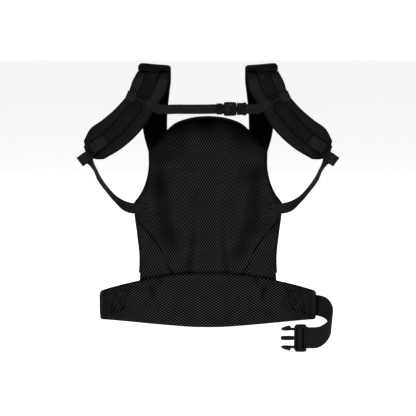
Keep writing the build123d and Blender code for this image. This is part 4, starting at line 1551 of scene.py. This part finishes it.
    def lay_band(self) -> None:
        """Smooth band down the middle with a cross seam and a row of stitches along each edge."""
        line = through(self.path, 400)
        reach = reaches(line)
        line = line[(reach > 1.5) & (reach < reach[-1] - 37)]
        rows = evenly(line, 150)
        run = headings(rows)
        normal = np.column_stack([-run[:, 1], run[:, 0]])
        across = np.linspace(-self.band_half, self.band_half, 34)
        flat = rows[:, None] + across[None, :, None] * normal[:, None]
        along = np.arange(len(rows))[:, None] * (reach[-1] / 190)
        edge = self.band_half - np.abs(across)[None, :]
        height = 0.15 + crown(edge, 2.5) - 0.45 * hump(edge - 2.6, 1.6) + 0.35 * hump(across[None, :], 9.0)
        height = height - 0.7 * hump(along - self.cross_seam, 3.0)
        tab = np.linalg.norm(flat - np.array([125.5, 4.0]), axis=-1)
        height += 0.45 * np.cos(2 * math.pi * tab / 6.0) * hump(tab - 13, 12)
        height += 0.25 * unevenness(flat[..., 0], flat[..., 1], 30.0, 9)
        # Painted shade along the band's edges, in its cross seam and round its tab, painted shadow on its top
        # under the fold, and a darker stretch near its lower end.
        worn = (
            0.6 * hump(edge - 0.4, 1.6) + 0.55 * hump(along - self.cross_seam, 3.2)
            + 0.4 * np.clip((flat[..., 1] + 2) / 16, 0, 1)
        )
        worn = worn + 0.45 * hump(tab - 15.5, 2.5) + 0.35 * hump(along - 215, 22.0)
        cloth = np.stack(np.broadcast_arrays(along, across[None, :], np.clip(worn, 0, 0.9)), -1)
        band = self.settle(Layer(self.on(flat, height), self.on(flat, np.full_like(height, -1.4)), cloth))
        made = band.sheet(f"pad_smooth_band_{self.side.word}", Kit.smooth, Hold.STRETCHED)
        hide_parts(f"pad_band_{self.side.word}")
        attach(made, f"strap_{self.side.word}")
        seams = []
        for col in (3, 30):
            points = self.side.place(self.on(flat[:, col], height[:, col] + 0.25))
            seams.append((points, HARNESS.out))
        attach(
            Seam(2.2, 1.0, 0.5).sew(f"pad_band_stitches_{self.side.word}", seams), f"strap_{self.side.word}"
        )
        self.add_tab()

    def add_tab(self) -> None:
        """Small triangle of folded tape at the band's top."""
        corners = np.array([(131.5, 9.6), (120.5, 7.2), (125.0, -5.0)])
        grid = patch(
            evenly(corners[:2], 16), np.repeat(corners[2:], 16, axis=0),
            evenly(corners[[0, 2]], 16), evenly(corners[[1, 2]], 16),
        )[:-1]
        rim = crown(edge_distance(grid), 2.2)
        cloth = grid - corners[2]
        layer = self.settle(
            Layer(self.on(grid, 1.4 + 2.0 * rim), self.on(grid, np.full(rim.shape, 0.9)), cloth)
        )
        made = layer.piece(f"strap_top_tab_{self.side.word}", Kit.webbing)
        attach(made, f"strap_{self.side.word}")


# --- moulded hardware ---------------------------------------------------------------------------
def rounded(low_u: float, high_u: float, low_v: float, high_v: float, radius: float) -> Array:
    """Outline of a rectangle with round corners."""
    bend = np.linspace(0, math.pi / 2, 7)
    corners = []
    for u, v, start in ((high_u, high_v, 0), (low_u, high_v, 1), (low_u, low_v, 2), (high_u, low_v, 3)):
        angle = bend + start * math.pi / 2
        middle = np.array(
            [
                u - math.copysign(radius, math.cos(start * math.pi / 2 + 0.7)),
                v - math.copysign(radius, math.sin(start * math.pi / 2 + 0.7)),
            ]
        )
        corners.append(middle + radius * np.column_stack([np.cos(angle), np.sin(angle)]))
    return np.concatenate(corners)


def softened(points: Sequence[Sequence[float]], share: float = 0.28) -> Array:
    """A closed outline with its corners rounded off."""
    line = np.array(points, float)
    for _ in range(3):
        ahead = np.roll(line, -1, axis=0)
        near, far = line * (1 - share) + ahead * share, line * share + ahead * (1 - share)
        line = np.stack([near, far], 1).reshape(-1, 2)
    return line


@dataclass(frozen=True)
class Plate:
    """A moulded plate: outline, holes, lowest and highest level, and edge rounding."""

    outline: Array
    low: float
    high: float
    holes: tuple = ()
    edge: float = 0.8

    def mesh(self, place: Frame) -> bpy.types.Mesh:
        """Its mesh, laid on a frame."""
        curve = bpy.data.curves.new("plate", "CURVE")
        curve.dimensions, curve.fill_mode = "2D", "BOTH"
        curve.extrude = ((self.high - self.low) / 2 - self.edge) * MM
        curve.bevel_depth = self.edge * MM
        curve.bevel_resolution = 3
        curve.offset = -self.edge * MM
        for number, line in enumerate((self.outline, *self.holes)):
            ahead = np.roll(line, -1, axis=0)
            turns_left = float(np.sum(line[:, 0] * ahead[:, 1] - ahead[:, 0] * line[:, 1])) > 0
            if turns_left == bool(number):
                line = line[::-1]
            spline = curve.splines.new("POLY")
            spline.points.add(len(line) - 1)
            for point, (u, v) in zip(spline.points, line):
                point.co = (u * MM, v * MM, 0.0, 1.0)
            spline.use_cyclic_u = True
        holder = bpy.data.objects.new("plate", curve)
        bpy.context.scene.collection.objects.link(holder)
        bpy.context.view_layer.update()
        flat = bpy.data.meshes.new_from_object(holder.evaluated_get(bpy.context.evaluated_depsgraph_get()))
        bpy.data.objects.remove(holder)
        bpy.data.curves.remove(curve)
        centre = place.point(0.0, 0.0, (self.low + self.high) / 2) * MM
        turn = Matrix([place.side, place.up, place.out]).transposed().to_4x4()
        flat.transform(Matrix.Translation(Vector(centre)) @ turn)
        return flat


def mould(name: str, place: Frame, plates: Sequence[Plate], side: Side = Side.RIGHT) -> bpy.types.Object:
    """Join plates into one plastic piece.

    Args:
        name: Piece name.
        place: Frame that the plates are drawn on, for the right-hand side.
        plates: The plates.
        side: The side that the piece belongs to.

    Returns:
        The piece.
    """
    shape = bmesh.new()
    for plate in plates:
        part = plate.mesh(place)
        shape.from_mesh(part)
        bpy.data.meshes.remove(part)
    bmesh.ops.remove_doubles(shape, verts=shape.verts, dist=0.00001)
    bmesh.ops.dissolve_degenerate(shape, edges=shape.edges, dist=0.000005)
    if side is Side.LEFT:
        bmesh.ops.scale(shape, vec=(-1, 1, 1), verts=shape.verts)
        bmesh.ops.reverse_faces(shape, faces=shape.faces)
    mesh = bpy.data.meshes.new(name)
    shape.to_mesh(mesh)
    shape.free()
    mesh.materials.clear()
    return dress_mesh(name, mesh, Kit.plastic, 38)


SLIDER = HARNESS.turned(*SLIDER_PLACE)
STRAP_END = HARNESS.turned(236.0, -143.0, -34.4)
CHEST = Frame(HARNESS.point(0.0, -72.8, 2.5), HARNESS.side, HARNESS.up)
WAIST_BUCKLE = Frame(np.array([0.0, -152.203, -56.0]), np.array([1.0, 0, 0]), np.array([0.0, 0, 1.0]))


def ribbon(
    name: str, place: Frame, path: Sequence[Sequence[float]], wide: float, side: Side = Side.RIGHT,
    count: int = 90,
) -> bpy.types.Object:
    """Webbing along a frame: its path as (sideways, outward) points and its width upward."""
    line = through(path, count)
    points = side.place(place.point(line[:, 0], 0.0, line[:, 1]))
    return sweep(name, points, tape_section(wide, 1.5, 16), side.place(place.up), Kit.webbing)


@dataclass
class ChestSlider:
    """Plastic slider on the pad's band, with the sewn keeper round the pad's outer side."""

    side: Side
    wide: float = 32.0
    long: float = 23.0
    level: tuple[float, float] = (1.8, 5.3)

    def build(self) -> None:
        """The slotted frame and the webbing patch threaded through it."""
        half_u, half_v = self.wide / 2, self.long / 2
        holes = [rounded(-12.6, 12.6, v - 1.6, v + 1.6, 1.0) for v in (-7.0, 7.0)]
        holes += [rounded(u - 1.3, u + 1.3, -4.0, 4.0, 0.8) for u in (-12.3, 12.3)]
        plates = [
            Plate(rounded(-half_u, half_u, -half_v, half_v, 2.6), *self.level, tuple(holes), 0.6),
            Plate(
                rounded(-10.4, 10.4, -4.8, 4.8, 1.4), self.level[0] + 0.6, self.level[1] + 0.9,
                (rounded(-7.4, 7.4, -2.0, 2.0, 1.0),), 0.7,
            ),
        ]
        frame_piece = mould(f"chest_slider_frame_{self.side.word}", SLIDER, plates, self.side)
        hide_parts(f"chest_slider_{self.side.word}")
        path = [
            (11.0, 3.0), (15.0, 4.6), (19.5, 3.4), (25.0, 3.1), (29.5, 2.0), (32.8, -0.8), (34.4, -4.4),
            (34.9, -7.2),
        ]
        keeper = ribbon(f"slider_keeper_tape_{self.side.word}", SLIDER, path, 23.0, self.side, 50)
        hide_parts(f"slider_keeper_{self.side.word}")
        for piece in (frame_piece, keeper):
            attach(piece, f"slider_{self.side.word}")


@dataclass
class LadderLock:
    """Strap end tab, three-bar ladder lock and the folded tail of the side webbing."""

    side: Side
    start: float = 32.0
    long: float = 19.5
    half: float = 15.0
    tail_start: float = 51.7

    def build(self) -> None:
        """Tab, loop, lock and tail."""
        word = self.side.word
        self.tab()
        end = self.start + self.long
        bars = [(self.start, self.start + 4.8), (self.start + 8.2, self.start + 11.6), (end - 5.6, end)]
        plates = [
            Plate(
                rounded(low, high, -self.half + 0.4, self.half - 0.4, 1.7), 0.3, 5.3 - 0.3 * k, (),
                1.9 - 0.3 * (k == 1),
            )
            for k, (low, high) in enumerate(bars)
        ]
        plates += [
            Plate(rounded(self.start, end, way - 1.3, way + 1.3, 1.2), 0.5, 5.0, (), 0.9)
            for way in (-self.half + 1.3, self.half - 1.3)
        ]
        plates.append(
            Plate(
                softened([(end - 3, -11), (end + 2.2, -9), (end + 2.2, 9), (end - 3, 11)], 0.25), 4.2, 6.4, (),
                0.8,
            )
        )
        lock = mould(f"ladder_lock_body_{word}", STRAP_END, plates, self.side)
        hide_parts(f"ladder_lock_{word}")
        start = self.tail_start
        path = [
            (start - 9.5, 3.6), (start - 3, 2.6), (start + 6, 3.2), (start + 17, 3.3), (start + 21, 3.9),
            (start + 21.6, 5.0), (start + 19.5, 5.9), (start + 12, 5.9), (start + 3.5, 6.5),
        ]
        tail = ribbon(f"side_web_tail_{word}", STRAP_END.turned(4.5, -7.5, -2.0), path, 25.0, self.side, 80)
        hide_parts(f"web_tail_{word}")
        for piece in (lock, tail):
            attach(piece, f"lock_{word}")

    def tab(self) -> None:
        """Webbing tab sewn on the pad's end, looped round the lock's first bar."""
        word = self.side.word
        x, v = np.meshgrid(np.linspace(0.0, 31.0, 40), np.linspace(-13.0, 13.0, 34))
        flat = np.stack([x, v], -1)
        rim = crown(edge_distance(flat), 1.6)
        box = box_cross([(4.0, -9.5), (25.0, -9.5), (25.0, 9.5), (4.0, 9.5)])
        height = 1.9 + 1.4 * rim - 0.7 * hump(line_distance(flat, np.concatenate(box)), 2.6)
        front, back = STRAP_END.point(x, v, height), STRAP_END.point(x, v, np.full(x.shape, 0.7))
        place = self.side.place
        tab = Layer(place(front), place(back), flat).piece(f"strap_end_tab_{word}", Kit.webbing)
        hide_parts(f"strap_end_{word}")
        path = [
            (26.0, 2.0), (31.0, 3.0), (33.6, 5.7), (36.6, 5.6), (38.0, 3.0), (37.0, -0.2), (33.0, -1.0),
            (27.0, 0.0),
        ]
        loop = ribbon(f"strap_end_loop_{word}", STRAP_END, path, 25.0, self.side, 50)
        rows = []
        for line in box:
            points = place(STRAP_END.point(line[:, 0], line[:, 1], 3.0))
            rows.append((points, place(STRAP_END.out)))
        for piece in (tab, loop, Seam(2.2, 1.1, 0.5).sew(f"strap_end_stitches_{word}", rows)):
            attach(piece, f"strap_{word}")


@dataclass
class SideWebbing:
    """Webbing that hangs in a bow from the panel's side up to the ladder lock."""

    side: Side
    wide: float = 25.0
    low: tuple[float, float, float] = (179.45, -34.04, 230.0)
    course: tuple = (
        (0.0, 0.0, 0.0, (0.0, 0.1, 1.0)),
        (0.20, 0.09, 0.06, (0.0, 0.5, 0.9)),
        (0.41, 0.24, 0.20, (-0.2, 0.9, 0.3)),
        (0.615, 0.48, 0.41, (-0.20, 1.0, 0.12)),
        (0.775, 0.72, 0.62, (-0.22, 1.0, 0.10)),
        (0.85, 0.85, 0.77, (-0.2, 1.0, -0.05)),
        (0.93, 0.95, 0.90, (-0.4, 0.6, -0.4)),
        (1.0, 1.0, 1.0, (-0.56, -0.13, -0.82)),
    )

    def build(self) -> None:
        """One twisting ribbon from the panel's side up to the strap's end."""
        low = np.array(self.low)
        high = STRAP_END.point(56.7, -12.5, -4.0)
        stations = np.array([[*(low + (high - low) * np.array(share[:3])), *share[3]] for share in self.course])
        first = np.array([160.0, float(WRAP.depth(np.array(160.0), -1.4)), 229.5, 0.0, 0.05, 1.0])
        line = through(np.vstack([first, stations]), 150)
        points, across = self.side.place(line[:, :3]), self.side.place(line[:, 3:])
        web = sweep(
            f"side_web_ribbon_{self.side.word}", points, tape_section(self.wide, 1.5, 16), across, Kit.webbing
        )
        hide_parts(f"side_web_{self.side.word}")
        start, end = self.side.place(low) * MM, self.side.place(high) * MM
        tuple(start)
        tuple(end)
        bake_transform(web)


@dataclass
class ChestStrap:
    """Chest webbing, its elastic keeper and the side-release buckle."""

    wide: float = 22.0
    leave: tuple[float, float] = (140.0, -59.8)
    corner: tuple[float, float] = (111.6, -73.0)

    def build(self) -> None:
        """Both webbings, keeper and buckle halves."""
        self.webbing()
        self.male()
        self.female()

    def route(self, start: Sequence[Sequence[float]]) -> Array:
        """Smooth route over the pad's plane."""
        return through(start, 130)

    def lay(self, name: str, points: Sequence[Sequence[float]], side: Side) -> bpy.types.Object:
        """Webbing laid along (u, v, n) points of the pad's plane."""
        line = self.route(points)
        run = headings(line[:, :2])
        across = -run[:, 1:] * HARNESS.side + run[:, :1] * HARNESS.up
        place = HARNESS.point(line[:, 0], line[:, 1], line[:, 2])
        return sweep(name, side.place(place), tape_section(self.wide, 1.5, 16), side.place(across), Kit.webbing)

    def webbing(self) -> None:
        """The two lengths of webbing and what they are looped round."""
        begin = [(147.0, -57.0, 4.0), (*self.leave, 3.9), (132.0, -63.2, 3.1), (121.0, -68.6, 2.7)]
        right = self.lay(
            "chest_web_right_length", [*begin, (*self.corner, 2.5), (100.0, -73.0, 2.5), (90.0, -72.8, 2.5)],
            Side.RIGHT,
        )
        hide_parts("chest_web_right")
        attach(right, "slider_right")
        far = [(70.0, -73.4, 2.4), (20.0, -73.5, 2.4), (-25.0, -72.9, 2.5), (-36.0, -72.8, 2.5)]
        left = self.lay("chest_web_left_length", [*begin, (*self.corner, 2.5), *far], Side.LEFT)
        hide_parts("chest_web_left")
        start, end = (Side.LEFT.place(HARNESS.point(u, -72.0, 2.5)) * MM for u in (140.0, 96.0))
        tuple(start)
        tuple(end)
        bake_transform(left)
        path = [(35.0, 0.2), (38.5, 0.8), (41.5, 3.2), (46.2, 4.4), (50.6, 3.2), (51.2, 0.0), (50.6, -2.6)]
        male_loop = ribbon("chest_web_left_loop", CHEST, path, self.wide, Side.RIGHT, 80)
        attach(male_loop, "chest_buckle")
        path = [(56.0, -4.0), (44.0, -4.1), (37.0, -3.2), (28.0, -1.8), (6.0, -1.7)]
        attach(ribbon("chest_web_left_spare_end", CHEST, path, self.wide, Side.RIGHT, 60), "chest_buckle")
        path = [(97.0, 0.9), (92.5, 2.6), (89.2, 4.7), (86.4, 3.2), (85.8, 0.0), (85.9, -3.0)]
        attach(ribbon("chest_web_right_loop", CHEST, path, self.wide, Side.RIGHT, 70), "slider_right")
        path = [(79.0, -5.5), (88.0, -5.6), (94.0, -3.4), (104.0, -1.8), (113.0, -1.7)]
        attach(ribbon("chest_web_right_spare_end", CHEST, path, self.wide, Side.RIGHT, 50), "slider_right")
        self.keeper()

    def keeper(self) -> None:
        """Elastic loop that holds the webbing's spare end flat."""
        turn = np.linspace(0, 2 * math.pi, 97)
        upward = np.abs(np.cos(turn)) ** 0.35 * np.sign(np.cos(turn))
        outward = np.abs(np.sin(turn)) ** 0.8 * np.sign(np.sin(turn))
        line = CHEST.point(26.5, 12.4 * upward, 3.1 * outward)
        made = sweep("chest_elastic_keeper", line, tape_section(13.0, 1.1, 10), CHEST.side, Kit.binding)
        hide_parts("chest_keeper")
        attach(made, "chest_buckle")

    def male(self) -> None:
        """Half with the prongs: slotted body, guide and two latches."""
        slots = tuple(rounded(u - 1.5, u + 1.5, -11.5, 11.5, 1.0) for u in (41.5, 51.0))
        body = softened(
            [(36, -13.5), (38, -16), (60, -16), (66, -14.5), (66, 14.5), (60, 16), (38, 16), (36, 13.5)], 0.2
        )
        plates = [
            Plate(body, -3.0, 3.0, slots, 1.0),
            Plate(rounded(43.3, 49.3, -12.5, 12.5, 1.5), -2.4, 2.6, (), 1.4),
            Plate(rounded(56.0, 64.5, -12.0, 12.0, 2.0), 2.2, 3.9, (), 0.7),
            Plate(rounded(60.0, 70.8, -7.2, 7.2, 1.2), -2.0, 2.0, (), 0.5),
            Plate(
                softened([(64, -2.5), (78, -2.5), (81, -1.4), (81, 1.4), (78, 2.5), (64, 2.5)], 0.2), -2.0, 2.0,
                (), 0.6,
            ),
        ]
        made = mould("chest_buckle_male", CHEST, plates)
        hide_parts("chest_male")
        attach(made, "chest_buckle")
        prong = [
            (66, 9), (74, 9), (80.4, 9.2), (82.6, 10.7), (80.4, 12.4), (73.2, 14.4), (71.4, 14.4), (70.9, 12.6),
            (66, 12.4),
        ]
        for word, way in (("upper", 1), ("lower", -1)):
            outline = softened([(u, way * v) for u, v in prong], 0.2)
            latch = mould(f"chest_buckle_latch_{word}", CHEST, [Plate(outline, -2.0, 2.0, (), 0.6)])
            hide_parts(f"chest_prong_{word}")
            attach(latch, f"chest_latch_{word}")

    def female(self) -> None:
        """Socket half: two waisted faces over an open middle, and a slotted end."""
        upper = [
            (66.4, 13.8), (68.2, 15), (70.2, 13.2), (72.6, 11.6), (76.2, 11.7), (79.2, 14.0), (82.4, 15.0),
            (87.6, 14.6), (89.0, 12.6),
        ]
        waist = softened([*upper, *[(u, -v) for u, v in upper[::-1]]], 0.25)
        slot = (rounded(84.6, 87.0, -11.2, 11.2, 1.0),)
        plates = [
            Plate(waist, -4.5, -2.3, slot, 0.8),
            Plate(waist, 2.3, 4.5, slot, 0.8),
            Plate(rounded(82.2, 88.6, -13.8, 13.8, 1.8), -2.6, 2.6, slot, 0.3),
            Plate(rounded(71.0, 80.4, -7.4, 7.4, 2.6), 4.1, 4.9, (), 0.3),
        ]
        plates += [
            Plate(rounded(66.7, 69.3, way - 1.1, way + 1.1, 0.6), -2.6, 2.6, (), 0.3) for way in (-13.6, 13.6)
        ]
        made = mould("chest_buckle_female", CHEST, plates)
        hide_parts("chest_female")
        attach(made, "slider_right")


@dataclass
class WaistStrap:
    """Waist webbing that bends forward off the right wing, and the big buckle on it."""

    tip: tuple[float, float] = (253.083, -68.788)
    heading: float = 46.816
    gap: float = -6.0
    run_out: float = 22.0
    bend: float = 40.0
    slack: float = 11.0
    haste: float = 1.12
    lean: float = 0.10
    rise: float = 3.5
    drop: float = -55.5
    end: float = 229.0
    wide: float = 50.0
    socket_turn: float = 39.0
    socket_gap: float = 17.6
    socket_swing: tuple[float, float] = (256.583, -63.288)

    def build(self) -> None:
        """Webbing, buckle and latches, then the socket folded behind the left wing."""
        heading = math.radians(self.heading)
        way = np.array([math.cos(heading), -math.sin(heading)])
        turn = np.array(self.tip) + self.run_out * way
        centre = turn - self.bend * np.array([math.sin(heading), math.cos(heading)])
        stations = [(*(np.array(self.tip) + self.gap * way), self.rise)]
        for share in np.linspace(0, 1, 10):
            angle = math.radians(90 - self.heading) * (1 - share) - math.pi / 2 * share
            early = min(self.haste * share, 1.0)
            fall = early * early * (3 - 2 * early)
            bulge = self.bend + self.slack * float(hump(np.array(share - 0.45), 0.5))
            place = centre + bulge * np.array([math.cos(angle), math.sin(angle)])
            stations.append((*place, self.rise + (self.drop - self.rise) * fall))
        stations.append((self.end, centre[1] - self.bend, self.drop))
        line = through(stations, 140)
        across = self.lean * np.sin(np.linspace(0, math.pi, len(line)))[:, None] + UPRIGHT
        section = tape_section(self.wide, 1.5, 26)
        web = sweep("waist_web_right_length", line, section, across, Kit.webbing, square=False)
        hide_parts("waist_web_right")
        begin = np.array([*self.tip, self.rise])
        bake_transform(web)
        self.male()
        self.socket()

    def male(self) -> None:
        """Slotted body, half-round bar, guide and two latches."""
        body = softened(
            [
                (200, -28), (203.5, -32.2), (224.5, -32.2), (228, -28.5), (228, 28.5), (224.5, 32.2),
                (203.5, 32.2), (200, 28),
            ],
            0.16,
        )
        slots = (rounded(217.6, 221.6, -23.6, 23.6, 1.6), rounded(203.6, 207.4, -23.6, 23.6, 1.6))
        guide = softened([(168, -2.6), (171, -4.8), (201, -4.8), (201, 4.8), (171, 4.8), (168, 2.6)], 0.2)
        plates = [
            Plate(body, -3.2, 3.4, slots, 1.1),
            Plate(rounded(207.0, 217.4, -27.4, 27.4, 4.0), -3.6, 4.6, (), 3.9),
            Plate(guide, -3.0, 3.0, (), 1.0),
            Plate(rounded(198.6, 203.2, -27.0, 27.0, 1.6), -2.6, 3.9, (), 1.2),
        ]
        made = mould("waist_buckle_male", WAIST_BUCKLE, plates)
        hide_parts("waist_male")
        path = [
            (229.4, -0.6), (226.5, -3.4), (221, -4.9), (212, -5.3), (206, -4.8), (204.4, -5.9), (206.5, -7.0),
            (215, -7.0), (226, -6.6), (231.5, -5.4),
        ]
        loop = ribbon("waist_web_right_loop", WAIST_BUCKLE, path, self.wide, Side.RIGHT, 80)
        for piece in (made, loop):
            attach(piece, "waist_buckle")
        prong = [
            (200, 18.6), (191, 18.4), (178, 17.6), (171, 18.4), (168.5, 21), (171, 24), (180, 27.6),
            (188.6, 29.5), (190.2, 28.6), (190.4, 25.6), (194, 23.6), (200, 23.8),
        ]
        for word, way in (("upper", 1), ("lower", -1)):
            outline = softened([(u, way * v) for u, v in prong], 0.22)
            latch = mould(f"waist_buckle_latch_{word}", WAIST_BUCKLE, [Plate(outline, -3.0, 3.0, (), 0.9)])
            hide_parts(f"waist_prong_{word}")
            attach(latch, f"waist_latch_{word}")

    def socket(self) -> None:
        """Socket half of the buckle, folded behind the left wing on its own webbing."""
        turn = math.radians(self.socket_turn)
        reach = WRAP.radius + self.socket_gap
        origin = np.array(
            [WRAP.flat + reach * math.sin(turn), -WRAP.radius + reach * math.cos(turn), self.rise]
        )
        place = Frame(origin, np.array([math.cos(turn), -math.sin(turn), 0.0]), np.array([0.0, 0.0, -1.0]))
        upper = [
            (-23, 29), (-20.5, 32), (-16.5, 31), (-13, 27.4), (4, 27.4), (9, 31), (14, 32), (21, 31.5),
            (23, 28.5),
        ]
        waist = softened([*upper, *[(u, -v) for u, v in upper[::-1]]], 0.25)
        slot = (rounded(15.0, 19.0, -26.0, 26.0, 1.6),)
        plates = [
            Plate(waist, 0.0, 2.6, slot, 1.0),
            Plate(waist, 9.4, 12.0, slot, 1.0),
            Plate(rounded(10.2, 22.6, -30.0, 30.0, 2.0), 2.2, 9.8, slot, 0.5),
            Plate(rounded(-12.0, 6.0, -14.0, 14.0, 4.0), 11.6, 12.8, (), 0.5),
        ]
        plates += [
            Plate(rounded(-22.4, -17.4, way - 2.4, way + 2.4, 1.0), 2.2, 9.8, (), 0.5) for way in (-28.6, 28.6)
        ]
        made = mould("waist_buckle_socket", place, plates, Side.LEFT)
        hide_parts("waist_female")
        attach(made, "waist_socket")
        swing = np.array([*self.socket_swing, self.rise])
        end = place.point(18.0, 0.0, 6.0)
        middle = (swing + place.point(23.3, 0.0, 6.0)) / 2 + np.array([2.0, 1.0, 0.0])
        line = through([swing, middle, place.point(23.3, 0.0, 6.0), end], 60)
        section = tape_section(self.wide, 1.5, 26)
        web = sweep("waist_web_left_length", Side.LEFT.place(line), section, UPRIGHT, Kit.webbing)
        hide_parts("waist_web_left")
        start, stop = Side.LEFT.place(swing) * MM, Side.LEFT.place(swing + (middle - swing) * 0.8) * MM
        tuple(start)
        tuple(stop)
        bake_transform(web)


# --- stage --------------------------------------------------------------------------------------
@dataclass
class Studio:
    """Pale floor, soft light and the camera."""

    target: tuple[float, float, float] = (0.0, 0.0, 0.2258)
    distance: float = 3.0
    elevation: float = 8.0
    lens: float = 108.2
    floor: float = -0.0895
    glow: float = 0.76
    horizon: tuple[float, float] = (0.10, 0.40)
    brightness: tuple[float, float] = (1.02, 0.12)
    lamps: tuple = (
        ("key", (-1.7, -2.0, 2.4), 1.2, 34.0),
        ("fill", (1.9, -1.9, 1.6), 1.2, 18.0),
        ("top", (0.0, -0.1, 3.2), 2.4, 26.0),
        ("back", (0.4, 2.4, 1.8), 1.6, 20.0),
    )

    def camera(self) -> None:
        """Camera in front of and a little above the carrier."""
        data = bpy.data.cameras.new("camera")
        data.lens, data.sensor_width, data.clip_end = self.lens, 36.0, 50.0
        data.dof.use_dof = False
        camera = bpy.data.objects.new("camera", data)
        bpy.context.scene.collection.objects.link(camera)
        rise = math.radians(self.elevation)
        away = Vector((0.0, -math.cos(rise), math.sin(rise)))
        camera.location = Vector(self.target) + self.distance * away
        camera.rotation_euler = away.to_track_quat("Z", "Y").to_euler()
        bpy.context.scene.camera = camera

    def lamp(self, name: str, place: Sequence[float], size: float, power: float) -> None:
        """Soft square lamp aimed at the carrier."""
        data = bpy.data.lights.new(name, "AREA")
        data.shape, data.size, data.energy = "SQUARE", size, power
        lamp = bpy.data.objects.new(name, data)
        bpy.context.scene.collection.objects.link(lamp)
        lamp.location = place
        lamp.rotation_euler = (Vector(place) - Vector(self.target)).to_track_quat("Z", "Y").to_euler()

    def sky(self, scene: bpy.types.Scene) -> None:
        """White all round the horizon, dim overhead."""
        world = scene.world or bpy.data.worlds.new("studio")
        scene.world = world
        world.use_nodes = True
        nodes, links = world.node_tree.nodes, world.node_tree.links
        place, split, ramp = (
            nodes.new(kind) for kind in ("ShaderNodeTexCoord", "ShaderNodeSeparateXYZ", "ShaderNodeMapRange")
        )
        ramp.interpolation_type = "SMOOTHSTEP"
        for socket, value in zip(list(ramp.inputs)[1:5], self.horizon + self.brightness):
            socket.default_value = value
        links.new(place.outputs["Generated"], split.inputs[0])
        links.new(split.outputs[2], ramp.inputs[0])
        links.new(ramp.outputs[0], nodes["Background"].inputs["Strength"])
        nodes["Background"].inputs["Color"].default_value = (1.0, 1.0, 1.0, 1.0)

    def build(self) -> None:
        """Floor, world and lamps."""
        scene = bpy.context.scene
        scene.view_settings.view_transform = "Standard"
        mesh = bpy.data.meshes.new("floor")
        half = 30.0
        mesh.from_pydata(
            [(-half, -half, 0), (half, -half, 0), (half, half, 0), (-half, half, 0)], [], [(0, 1, 2, 3)]
        )
        tree = Tree("pale floor")
        paint = {"Base Color": (0.8, 0.8, 0.8, 1.0), "Roughness": 0.9, "Specular IOR Level": 0.1}
        paint |= {"Emission Color": (1.0, 1.0, 1.0, 1.0), "Emission Strength": self.glow}
        shader = tree.signal("ShaderNodeBsdfPrincipled", None, paint)
        tree.node("ShaderNodeOutputMaterial", None, {"Surface": shader})
        mesh.materials.append(tree.material)
        floor = bpy.data.objects.new("floor", mesh)
        floor.location = (0, 0, self.floor)
        scene.collection.objects.link(floor)
        self.sky(scene)
        for lamp in self.lamps:
            self.lamp(*lamp)


def main() -> None:
    """Build every sub-assembly in order."""
    studio = Studio()
    studio.camera()
    studio.build()
    belt = Belt()
    belt.build()
    Panel(belt).build()
    ChestStrap().build()
    for side in Side:
        for part in (PanelTab, Riser, ShoulderFold, ShoulderPad, ChestSlider, LadderLock, SideWebbing):
            part(side).build()
    WaistStrap().build()


if __name__ == "__main__":
    main()
